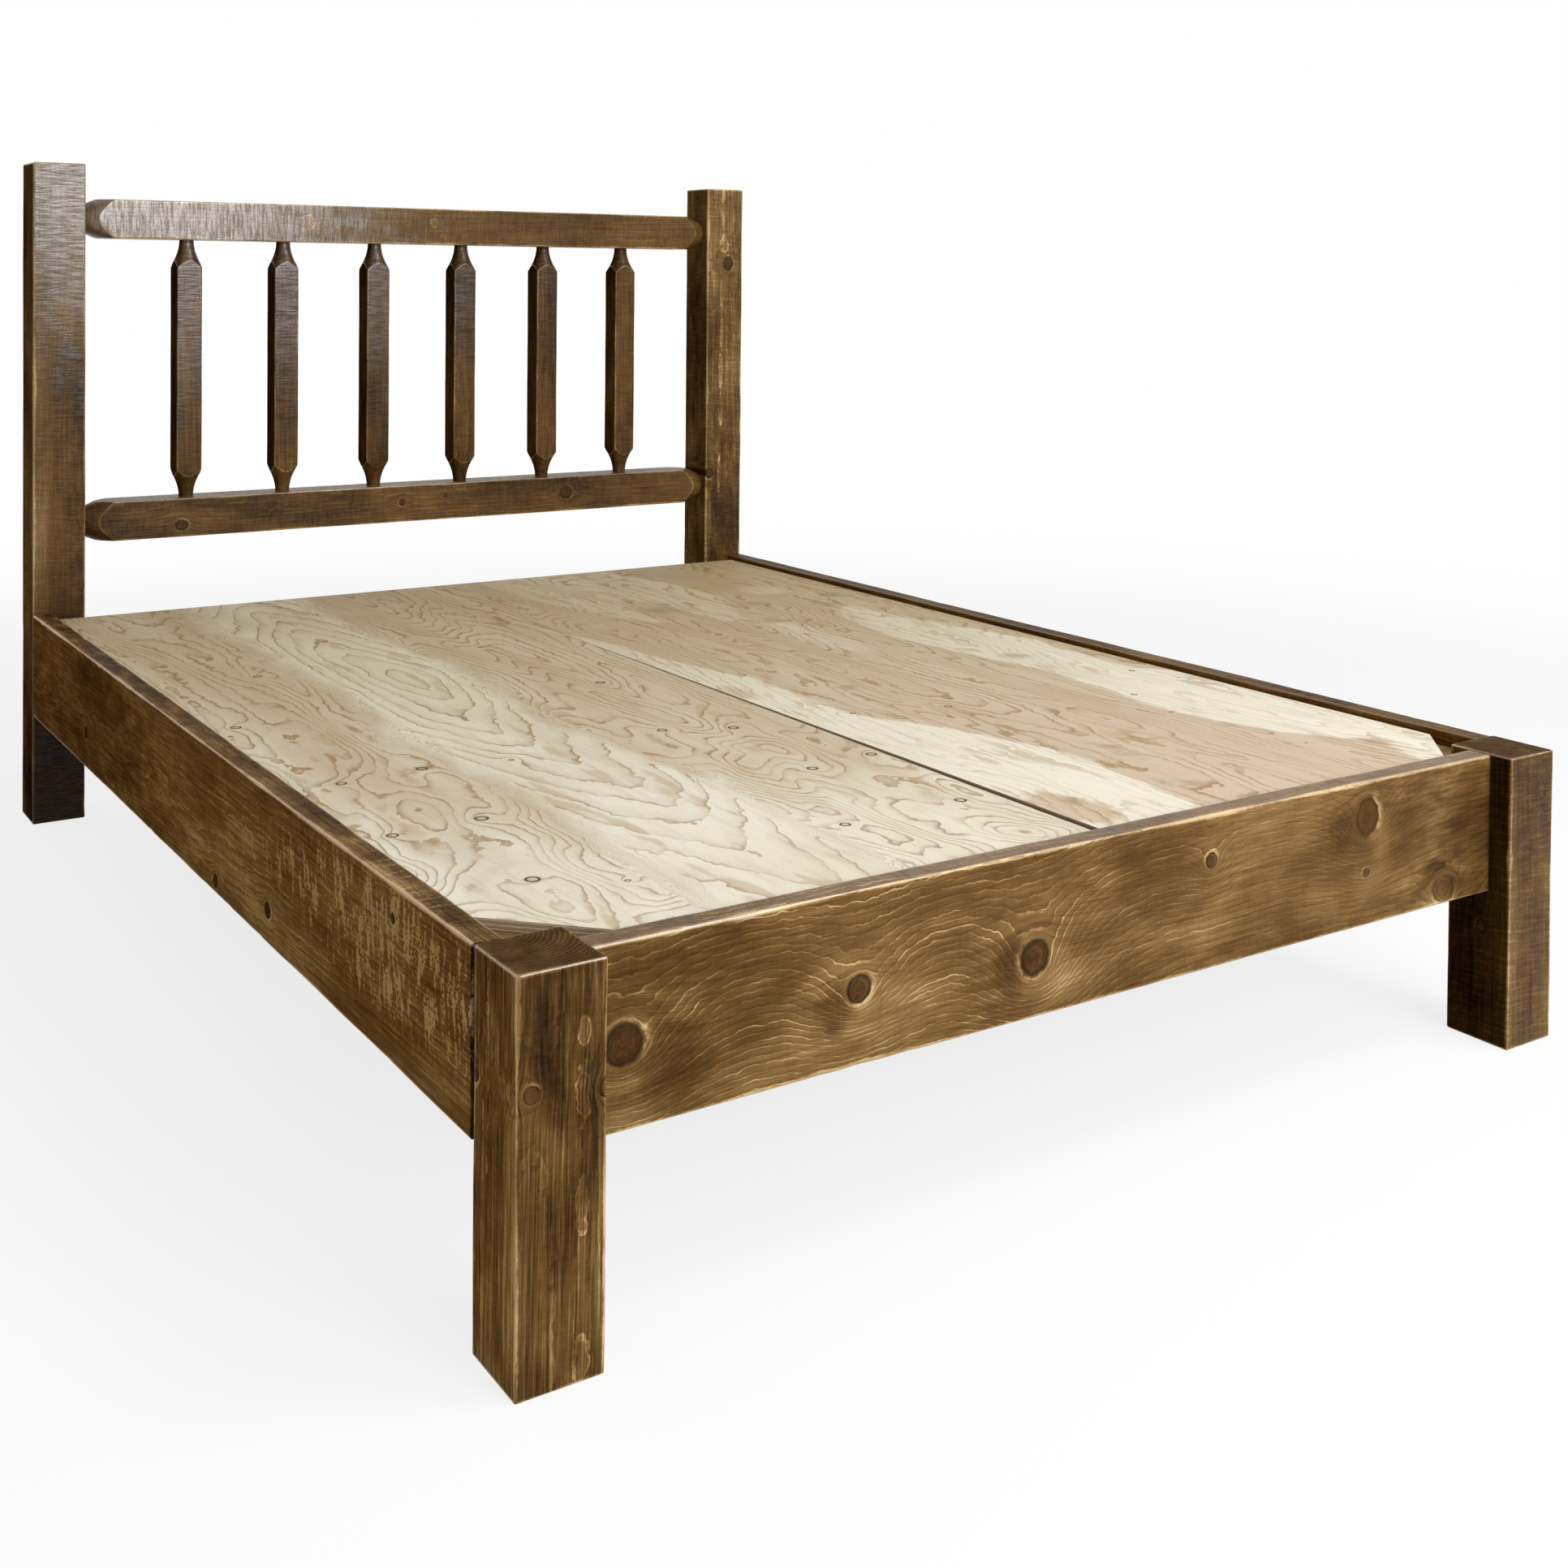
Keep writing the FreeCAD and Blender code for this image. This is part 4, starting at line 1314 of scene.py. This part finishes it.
def softbox(name, place, target, size, power):
    """A soft rectangular lamp at a place, turned to a target."""
    lamp = bpy.data.lights.new(name, "AREA")
    lamp.shape = "RECTANGLE"
    lamp.size, lamp.size_y = size
    lamp.energy = power
    holder = stand(name, lamp)
    holder.location = place
    holder.rotation_euler = (Vector(target) - Vector(place)).to_track_quat("-Z", "Y").to_euler()


def photo_camera(lens):
    """The camera where the photograph was taken from."""
    camera = bpy.data.cameras.new("photo_view")
    camera.lens = lens
    camera.sensor_width = 36.0
    camera.shift_x, camera.shift_y = 0.035846, -0.298910
    camera.clip_end = 60.0
    holder = stand("photo_view", camera)
    holder.location = (-1.541662, -2.624246, 1.053818)
    holder.rotation_euler = [math.radians(angle) for angle in (88.89694, -0.48809, -32.39529)]
    bpy.context.scene.camera = holder


# Places of features and fixings

SLATS = 8

# Turned fixings, as radius and height
SCREW_HEAD = [(0.0012, -0.0035), (0.0022, -0.0030), (0.0042, -0.0004), (0.0044, 0.0001), (0.0041, 0.00035)]
BOLT_DOME = [(0.0094, -0.0002), (0.0094, 0.0006), (0.0088, 0.0017), (0.0074, 0.0028), (0.0050, 0.0036),
             (0.0022, 0.0039)]
BOLT_NUT = [(0.009, 0.0), (0.009, 0.0015), (0.0076, 0.0016), (0.0076, 0.0074), (0.0068, 0.0081),
            (0.0040, 0.0081), (0.0040, 0.0112), (0.0034, 0.0118)]


def on_front(y, depth, *rows):
    """Features on a face that looks along Y. Each row gives X, Z, half width, half height and, for a
    patch of tone, painted shade at some places, its amount."""
    return tuple(((x, y, z), (wide, depth, high), *amount) for x, z, wide, high, *amount in rows)


def on_side(x, depth, *rows):
    """Features on a face that looks along X, given like those on a front by Y and Z."""
    return tuple(((x, y, z), (depth, wide, high), *amount) for y, z, wide, high, *amount in rows)


def screw_places():
    """Where the wood screws are and the way that each head looks: three in each slat, seven in each ledger
    and two in each beam cradle."""
    low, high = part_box("ledger_right")
    over_ledger, level = (low.x + high.x) / 2, (low.z + high.z) / 2
    end_gap, aside, aside_middle, cradle_reach, above_middle = 0.06, 0.011, -0.013, 0.034, 0.01
    places = []
    for i in range(SLATS):
        slat_low, slat_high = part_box("slat_%d" % (i + 1))
        middle = (slat_low.y + slat_high.y) / 2
        for x, off in ((-over_ledger, aside), (0.0, aside_middle), (over_ledger, aside)):
            places.append(((x, middle + off, slat_high.z), (0.0, 0.0, 1.0)))
    for side in (-1, 1):
        for i in range(7):
            y = low.y + end_gap + (high.y - low.y - 2 * end_gap) * i / 6
            places.append(((side * low.x, y, level), (-side, 0.0, 0.0)))
    for node, way in (("beam_cradle_foot", 1.0), ("beam_cradle_head", -1.0)):
        cradle_low, cradle_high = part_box(node)
        y, z = (cradle_high if way > 0 else cradle_low).y, (cradle_low.z + cradle_high.z) / 2 + above_middle
        for x in (-cradle_reach, cradle_reach):
            places.append(((x, y, z), (0.0, way, 0.0)))
    return places


def hexagon(nut):
    """Cut the six flats of a turned nut, above its washer."""
    low, high, half = 0.00155, 0.0078, 0.0065
    for vertex in nut.data.vertices:
        if low < vertex.co.z < high and vertex.co.xy.length > half:
            angle = math.atan2(vertex.co.y, vertex.co.x)
            turn = (math.degrees(angle) + 30.0) % 60.0 - 30.0
            flat = half / math.cos(math.radians(turn))
            vertex.co.x, vertex.co.y = flat * math.cos(angle), flat * math.sin(angle)


# Operators


class BED_OT_posts(bpy.types.Operator):
    """Hew the four posts"""
    bl_idname = "bed.posts"
    bl_label = "Posts"

    def execute(self, context):
        left_foot = dict(
            pith=(-0.775, -1.00, 0.0), tilt=(0.010, -0.014), tone=0.35, lines=0.08, streaks=1.1, patches=0.75,
            # Painted light makes the left face paler, and painted shade tints it warmer
            flecks=0.04, saw=0.25, painted_left_face_light_and_shade=0.33, gloss=0.05, hearts=0.45, painted_left_face_warm_shade=0.8,
            knots=(((-0.7867, -1.10375, 0.289), 0.0080, "Y", 1.1, 2.2, 2.6),
                   ((-0.7063, -1.10375, 0.279), 0.0085, "Y", 1.2, 2.0, 3.0),
                   ((-0.8025, -1.012, 0.283), 0.009, "X", 1.2, 1.5, 2.5)),
            flames=on_front(-1.104, 0.02, (-0.731, 0.338, 0.0065, 0.014), (-0.731, 0.277, 0.0085, 0.028),
                            (-0.733, 0.170, 0.0070, 0.030), (-0.733, 0.022, 0.0085, 0.023))
            + on_side(-0.803, 0.02, (-1.030, 0.10, 0.0025, 0.16), (-1.040, 0.30, 0.003, 0.10),
                      (-1.0385, 0.352, 0.006, 0.006)),
            tones_and_painted_shade=on_front(
                -1.104, 0.03, (-0.798, 0.200, 0.018, 0.30, 0.10), (-0.765, 0.335, 0.022, 0.055, -0.14),
                (-0.742, 0.240, 0.020, 0.10, -0.07), (-0.750, 0.110, 0.014, 0.12, -0.07),
                (-0.712, 0.365, 0.010, 0.05, 0.10), (-0.710, 0.11, 0.007, 0.13, 0.20),
                (-0.722, 0.250, 0.012, 0.03, -0.10), (-0.785, 0.010, 0.030, 0.04, -0.13))
            + on_side(-0.803, 0.03, (-1.090, 0.20, 0.014, 0.26, 0.12), (-1.060, 0.33, 0.030, 0.05, 0.08),
                      (-1.085, 0.33, 0.020, 0.05, -0.12))
            # A dark strip where the side rail meets the post is painted shadow in the joint
            + on_side(-0.803, 0.02, (-1.0075, 0.30, 0.004, 0.25, -0.4)))
        right_foot = dict(
            pith=(0.79, -1.00, 0.0), tilt=(0.006, 0.010), tone=0.395, lines=0.08, streaks=0.4, patches=0.7,
            # Painted shade darkens the left face
            flecks=0.20, saw=1.0, painted_left_face_light_and_shade=-0.22,
            knots=(((0.706, -1.06, 0.16), 0.007, "X", 1.4, 1.6, 2.6),),
            tones_and_painted_shade=on_front(-1.104, 0.03, (0.712, 0.20, 0.010, 0.26, 0.10)))
        left_head = dict(
            pith=(-0.70, 1.075, 0.0), tilt=(0.004, 0.006), tone=0.39, lines=0.06, streaks=0.35, patches=0.6,
            # Painted light makes the left face a little paler
            flecks=0.03, saw=0.9, satin=0.31, painted_left_face_light_and_shade=0.05,
            polish=((-0.735, 1.007, 1.30), (0.14, 0.10, 0.44), 0.70),
            tones_and_painted_shade=on_front(1.007, 0.03, (-0.79, 0.66, 0.020, 0.30, 0.16), (-0.72, 0.75, 0.025, 0.25, -0.08))
            # Painted shade darkens the foot of the post, under the bed
            + on_front(1.007, 0.12, (-0.75, 0.05, 0.10, 0.20, -0.22)))
        right_head = dict(
            pith=(0.755, 1.12, 0.6), tilt=(0.012, 0.004), tone=0.45, lines=0.16, streaks=0.85, patches=0.8,
            flecks=0.22,
            knots=(((0.7627, 1.00725, 1.0929), 0.013, "Y", 1.3, 3.0, 2.6),
                   ((0.715, 1.00725, 0.60), 0.010, "Y", 1.3, 2.0, 2.6)),
            flames=on_front(
                1.007, 0.02, (0.749, 1.22, 0.004, 0.05), (0.752, 1.14, 0.010, 0.022),
                (0.746, 1.02, 0.005, 0.035), (0.746, 0.93, 0.004, 0.03), (0.744, 0.84, 0.005, 0.04),
                (0.745, 0.75, 0.005, 0.04), (0.743, 0.60, 0.004, 0.04)),
            tones_and_painted_shade=on_front(1.007, 0.03, (0.765, 1.20, 0.06, 0.20, 0.17), (0.72, 0.85, 0.012, 0.5, 0.07),
                           (0.765, 0.50, 0.05, 0.16, -0.17)))
        for node, seed, look in (("foot_post_left", 3.1, left_foot), ("foot_post_right", 5.7, right_foot),
                                 ("head_post_left", 7.9, left_head), ("head_post_right", 9.3, right_head)):
            piece = timber(node + "_hewn", *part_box(node), "Z", seed)
            dress(piece, pine("pine_" + node, "Z", **look), [node])
        return {"FINISHED"}


class BED_OT_side_rails(bpy.types.Operator):
    """Saw the two side rails"""
    bl_idname = "bed.side_rails"
    bl_label = "Side rails"

    def execute(self, context):
        left = dict(
            pith=(-0.74, -0.30, 0.2), tilt=(0.012, 0.020), tone=0.625, top_gloss=0.02, wear=1.0,
            fleck_place=((-0.80, -0.80, 0.33), (0.2, 0.42, 0.080)),
            knots=(((-0.8025, 0.582, 0.270), 0.010, "X", 1.2, 1.5, 2.5),
                   ((-0.8025, -0.164, 0.227), 0.009, "X", 1.0, 1.5, 2.5),
                   ((-0.8025, -0.385, 0.252), 0.010, "X", 1.1, 1.5, 2.5),
                   ((-0.8025, -0.80, 0.367), 0.006, "X", 1.0, 1.2, 2.5)),
            tones_and_painted_shade=on_side(-0.803, 0.05, (-0.80, 0.32, 0.36, 0.10, 0.06), (-0.25, 0.33, 0.42, 0.05, 0.04),
                          (0.62, 0.30, 0.40, 0.12, -0.09), (-0.55, 0.23, 0.45, 0.03, 0.04),
                          # Painted shadow darkens the rail's foot end, in its gap at the post
                          (-1.006, 0.30, 0.005, 0.25, -0.7))
            + on_side(-0.778, 0.024, (0.0, 0.410, 3.0, 0.010, -0.32)))
        right = dict(
            pith=(0.76, -0.33, -0.4), tilt=(-0.015, 0.018), tone=0.40, top_gloss=0.03, wear=0.25,
            fleck_place=((0.80, 0.30, 0.30), (0.2, 0.42, 0.080)),
            knots=(((0.8025, 0.42, 0.30), 0.012, "X", 1.2, 1.5, 2.5),
                   ((0.8025, -0.51, 0.33), 0.009, "X", 1.1, 1.5, 2.5)))
        for node, seed, look in (("side_rail_left", 13.7, left), ("side_rail_right", 17.9, right)):
            piece = timber(node + "_sawn", *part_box(node), "Y", seed, arris=0.0021, end_share=0.25)
            # Painted shade tints the faces that look to the left warmer
            material = pine("pine_" + node, "Y", waver=0.035, lines=0.16, streaks=0.6, patches=0.55, saw=0.9,
                            coarse=2.2, flecks=1.4, gloss=0.06, edge_gloss=0.40, painted_left_face_warm_shade=1.0, **look)
            dress(piece, material, [node])
        return {"FINISHED"}


class BED_OT_foot_rail(bpy.types.Operator):
    """Saw the knotty foot rail"""
    bl_idname = "bed.foot_rail"
    bl_label = "Foot rail"

    def execute(self, context):
        low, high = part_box("foot_rail")
        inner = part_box("foot_post_right")[0].x
        low, high = Vector((-inner, low.y, low.z)), Vector((inner, high.y, high.z))
        face = low.y
        piece = timber("foot_rail_sawn", low, high, "X", 21.3, eased=False, bury=0.0015, face_step=0.014)
        knots = [
            ((-0.670, face, 0.2992), 0.0210, "Y", 1.05, 11.5, 3.6),
            ((-0.382, face, 0.2968), 0.0150, "Y", 1.05, 10.0, 4.6),
            ((-0.1316, face, 0.2817), 0.0205, "Y", 1.0, 12.5, 3.7),
            ((0.1548, face, 0.3463), 0.0100, "Y", 1.0, 5.0, 3.0, 0.75),
            ((0.446, face, 0.3567), 0.0240, "Y", 0.9, 8.0, 2.6, 0.62),
            ((0.606, face, 0.2330), 0.0180, "Y", 1.2, 6.0, 2.4, 0.45),
            ((0.446, face, 0.2830), 0.0055, "Y", 1.3, 1.6, 3.0, 0.7)]
        tones_and_painted_shade = on_front(
            face, 0.05, (0.68, 0.30, 0.08, 0.16, -0.17), (0.42, 0.31, 0.30, 0.14, -0.035),
            (-0.60, 0.375, 0.13, 0.04, -0.07), (-0.615, 0.26, 0.05, 0.06, -0.19),
            (-0.412, 0.285, 0.026, 0.032, -0.20), (-0.168, 0.278, 0.026, 0.035, -0.17),
            (-0.085, 0.245, 0.030, 0.025, 0.10), (0.40, 0.345, 0.03, 0.03, -0.09),
            (0.475, 0.320, 0.022, 0.035, 0.12), (0.60, 0.250, 0.05, 0.035, -0.20),
            (0.385, 0.27, 0.09, 0.05, 0.07), (0.545, 0.30, 0.06, 0.07, -0.10),
            (0.25, 0.36, 0.16, 0.05, 0.03), (0.0, 0.23, 0.35, 0.02, -0.04))
        material = pine("pine_foot_rail", "X", (-0.165, -0.935, 0.0), (0.0, 0.016), step=0.0058, waver=0.034,
                        tone=0.55, lines=0.42, line_fade=(-0.25, 0.30, 0.35), streaks=0.42, patches=0.55,
                        saw=0.4, knots=knots, tones_and_painted_shade=tones_and_painted_shade, gloss=0.05)
        dress(piece, material, ["foot_rail"])
        return {"FINISHED"}


class BED_OT_headboard_rails(bpy.types.Operator):
    """Turn the coved ends of the two headboard rails"""
    bl_idname = "bed.headboard_rails"
    bl_label = "Headboard rails"

    def execute(self, context):
        top = dict(
            pith=(-1.13, 1.10, 0.0), tilt=(0.006, 0.004), tone=0.45, lines=0.06, streaks=0.3, patches=0.55,
            saw=1.2, flecks=0.05, satin=0.30, polish=((-0.72, 1.017, 1.17), (0.66, 0.06, 0.3), 1.0),
            flames=on_front(1.017, 0.02, (0.02, 1.172, 0.009, 0.009), (-0.26, 1.165, 0.016, 0.016)),
            tones_and_painted_shade=on_front(1.017, 0.05, (0.35, 1.165, 0.35, 0.06, 0.04)))
        bottom = dict(
            pith=(-0.60, 1.06, 0.0), tilt=(0.012, -0.010), tone=0.385, lines=0.12, streaks=0.5, patches=0.7,
            saw=0.5, gloss=0.14,
            knots=(((-0.518, 1.017, 0.556), 0.010, "Y", 1.2, 2.2, 2.6),
                   ((-0.336, 1.017, 0.582), 0.005, "Y", 1.0, 1.5, 2.6),
                   ((-0.050, 1.017, 0.574), 0.007, "Y", 1.0, 1.5, 2.6),
                   ((0.050, 1.017, 0.584), 0.005, "Y", 1.0, 1.5, 2.6),
                   ((0.342, 1.017, 0.574), 0.013, "Y", 1.1, 2.6, 2.2)))
        between_posts = 2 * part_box("head_post_right")[0].x
        neck, cove, sag = 0.027, 0.058, 0.0018
        for node, seed, look in (("headboard_top_rail", 31.1, top), ("headboard_bottom_rail", 37.7, bottom)):
            low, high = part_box(node)
            piece = coved_bar(node + "_turned", (low + high) / 2, (high.z - low.z) / 2, between_posts, neck,
                              cove, sag, "X", seed)
            dress(piece, pine("pine_" + node, "X", **look), [node])
        return {"FINISHED"}


class BED_OT_spindles(bpy.types.Operator):
    """Turn the six spindles"""
    bl_idname = "bed.spindles"
    bl_label = "Spindles"

    def execute(self, context):
        nodes = ["spindle_%d" % (i + 1) for i in range(6)]
        boxes = [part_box(node) for node in nodes]
        centres = [(low + high) / 2 for low, high in boxes]
        between_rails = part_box("headboard_top_rail")[0].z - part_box("headboard_bottom_rail")[1].z
        half = (boxes[0][1].x - boxes[0][0].x) / 2
        neck, cove, sag = 0.014, 0.056, 0.0055
        blank = coved_bar("spindle_blank", Vector(ORIGIN), half, between_rails, neck, cove, sag, "Z", 41.9)
        # Painted shade darkens the faces that look to the left
        material = pine("pine_spindles", "Z", (0.03, 0.05, 0.0), (0.01, 0.02), tone=0.335, lines=0.08,
                        streaks=0.55, patches=0.6, saw=0.8, shifted=True, satin=0.33, painted_left_face_light_and_shade=-0.10,
                        polish=((-0.60, 1.03, 1.12), (0.95, 0.10, 0.36), 0.55))
        name = "spindles_turned"
        piece = evaluated(name, row_tree("Spindle Row"), bpy.data.meshes.new(name), {
            "Board": blank, "Count": len(nodes), "Start": centres[0], "Step": centres[1] - centres[0],
            "Quarter Turns": 4, "Shift": 0.8, "Material": material, "Seed": 5})
        drop(blank)
        dress(piece, material, nodes)
        return {"FINISHED"}


class BED_OT_slats(bpy.types.Operator):
    """Lay the slats"""
    bl_idname = "bed.slats"
    bl_label = "Slats"

    def execute(self, context):
        nodes = ["slat_%d" % (i + 1) for i in range(SLATS)]
        first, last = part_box(nodes[0]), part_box(nodes[-1])
        centre, end = (first[0] + first[1]) / 2, (last[0] + last[1]) / 2
        size = (first[1] - first[0]) / 2
        blank = timber("slat_blank", -size, size, "X", 51.3, arris=0.0014, face_step=0.02, ring_step=0.03)
        material = pine("pine_slats", "X", (0.05, 0.08, 0.0), (0.01, 0.012), tone=0.48, lines=0.2,
                        streaks=0.5, saw=0.8, shifted=True, wear=0.5, gloss=0.1)
        name = "slats_sawn"
        piece = evaluated(name, row_tree("Slat Row"), bpy.data.meshes.new(name), {
            "Board": blank, "Count": len(nodes), "Start": centre, "Step": (end - centre) / (len(nodes) - 1),
            "Turn Axis": ORIGIN, "Quarter Turns": 1, "Shift": 0.9, "Material": material, "Seed": 11})
        drop(blank)
        dress(piece, material, nodes)
        return {"FINISHED"}


class BED_OT_framing(bpy.types.Operator):
    """Finish the framing under the deck"""
    bl_idname = "bed.framing"
    bl_label = "Framing"

    def execute(self, context):
        for node, grain, pith, tone in (
                ("ledger_left", "Y", (-0.70, -0.28, 0.0), 0.44),
                ("ledger_right", "Y", (0.72, -0.30, 0.0), 0.47),
                ("centre_beam", "Y", (0.05, -0.22, 0.0), 0.46),
                ("head_cross_rail", "X", (-0.25, 1.12, 0.0), 0.43),
                ("beam_cradle_foot", "Z", (0.06, -1.10, 0.0), 0.42),
                ("beam_cradle_head", "Z", (0.07, 1.10, 0.0), 0.45),
                ("centre_leg_foot", "Z", (0.06, -0.45, 0.0), 0.46),
                ("centre_leg_head", "Z", (-0.06, 0.25, 0.0), 0.44)):
            finish_node(node, pine("pine_" + node, grain, pith, (0.01, 0.015), tone=tone, lines=0.2,
                                   streaks=0.5, saw=0.8, wear=0.0, gloss=0.1))
        return {"FINISHED"}


class BED_OT_fixings(bpy.types.Operator):
    """Set the plates, the screws, the leg bolts and the felt pads"""
    bl_idname = "bed.fixings"
    bl_label = "Fixings"

    def execute(self, context):
        metal = steel()
        finish_node("rail_hook_plates", metal)
        finish_node("post_slot_plates", metal)
        finish_node("leg_pads", felt())

        bolts, nuts = [], []
        under_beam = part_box("centre_beam")[0].z
        for node in ("centre_leg_foot", "centre_leg_head"):
            low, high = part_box(node)
            y, z = (low.y + high.y) / 2, (under_beam + high.z) / 2
            bolts.append(((low.x, y, z), (-1.0, 0.0, 0.0)))
            nuts.append(((high.x, y, z), (1.0, 0.0, 0.0)))
        screw = lathe("screw_head", SCREW_HEAD, 20)
        cross_slot(screw, width=0.0012, length=0.0046, depth=0.0014, top=SCREW_HEAD[-1][1])
        dome = lathe("bolt_dome", BOLT_DOME, 28)
        nut = lathe("bolt_nut", BOLT_NUT, 24)
        hexagon(nut)
        tree = fixing_tree("Fixings")
        for name, shape, places in (("wood_screws", screw, screw_places()), ("leg_bolt_heads", dome, bolts),
                                    ("leg_bolt_nuts", nut, nuts)):
            piece = evaluated(name, tree, spots(name, places), {"Fixing": shape, "Material": metal})
            dress(piece, metal, [])
        drop(screw, dome, nut)
        return {"FINISHED"}


class BED_OT_deck(bpy.types.Operator):
    """Cut the two plywood panels"""
    bl_idname = "bed.deck"
    bl_label = "Deck panels"

    def execute(self, context):
        left = [(-0.591, 0.311, 0.008), (-0.726, -0.007, 0.0085), (-0.125, -0.013, 0.0085),
                (-0.581, -0.353, 0.0085), (-0.699, -0.367, 0.0075), (-0.197, -0.336, 0.008),
                (-0.099, -0.376, 0.0085), (-0.607, -0.600, 0.0095), (-0.726, -0.609, 0.008),
                (-0.127, -0.619, 0.0085), (-0.013, -0.600, 0.0085), (-0.654, -0.835, 0.0095),
                (-0.239, -0.848, 0.0075), (-0.051, -0.839, 0.0085), (-0.566, -0.892, 0.004),
                (-0.458, -0.373, 0.004), (-0.174, 0.347, 0.005)]
        right = [(0.257, 0.233, 0.006), (0.493, 0.147, 0.0055), (0.261, -0.433, 0.0065),
                 (0.107, -0.393, 0.005), (0.701, -0.387, 0.0055), (0.574, -0.519, 0.0055),
                 (0.537, -0.635, 0.004)]
        smudges = [(0.610, -0.191, 0.020), (0.423, 0.300, 0.022), (0.697, 0.480, 0.026),
                   (0.617, 0.389, 0.022), (0.437, 0.909, 0.016), (0.662, -0.916, 0.016),
                   (0.070, -0.917, 0.014), (0.265, -0.940, 0.014), (0.206, -0.246, 0.014),
                   (0.500, 0.470, 0.022), (0.285, 0.500, 0.030), (0.330, 0.550, 0.012)]
        for node, side, knots, marks, body in (("deck_panel_left", -1, left, (), "deck_left"),
                                               ("deck_panel_right", 1, right, smudges, "deck_right")):
            piece = panel_board(node + "_ply", node)
            dress(piece, plywood("plywood_" + node, side, knots, marks), [node], body)
        return {"FINISHED"}


class BED_OT_stage(bpy.types.Operator):
    """Set up the floor, the soft light and the camera"""
    bl_idname = "bed.stage"
    bl_label = "Stage"

    def execute(self, context):
        look = context.scene.bed_stage
        lay_floor()
        even_light(look.fill)
        softbox("key_softbox", (0.40, -4.4, 2.02), (0.0, 0.4, 0.7), (2.9, 1.7), look.key_power)
        softbox("edge_softbox", (1.6, -2.4, 3.6), (0.2, -0.6, 0.4), (1.4, 1.2), look.edge_power)
        photo_camera(look.lens)
        context.scene.view_settings.view_transform = "Standard"
        return {"FINISHED"}


pieces = (BED_OT_posts, BED_OT_side_rails, BED_OT_foot_rail, BED_OT_headboard_rails, BED_OT_spindles,
          BED_OT_slats, BED_OT_framing, BED_OT_fixings, BED_OT_deck, BED_OT_stage)


class BED_PT_panel(bpy.types.Panel):
    """Lists the bed's settings and pieces in the sidebar"""
    bl_idname = "BED_PT_panel"
    bl_label = "Rustic Platform Bed"
    bl_space_type = "VIEW_3D"
    bl_region_type = "UI"
    bl_category = "Bed"

    def draw(self, context):
        for title, settings in (("Timber", context.scene.bed_timber), ("Deck", context.scene.bed_deck),
                                ("Stage", context.scene.bed_stage)):
            box = self.layout.box()
            box.label(text=title)
            for key in settings.__annotations__:
                box.prop(settings, key)
        for piece in pieces:
            self.layout.operator(piece.bl_idname)


classes = (BedTimberSettings, BedDeckSettings, BedStageSettings) + pieces + (BED_PT_panel,)


def register():
    for item in classes:
        bpy.utils.register_class(item)
    bpy.types.Scene.bed_timber = bpy.props.PointerProperty(type=BedTimberSettings)
    bpy.types.Scene.bed_deck = bpy.props.PointerProperty(type=BedDeckSettings)
    bpy.types.Scene.bed_stage = bpy.props.PointerProperty(type=BedStageSettings)


def unregister():
    del bpy.types.Scene.bed_stage
    del bpy.types.Scene.bed_deck
    del bpy.types.Scene.bed_timber
    for item in reversed(classes):
        bpy.utils.unregister_class(item)


def main():
    """Make every piece in order."""
    register()
    for piece in pieces:
        group, name = piece.bl_idname.split(".")
        getattr(getattr(bpy.ops, group), name)()


if __name__ == "__main__":
    main()
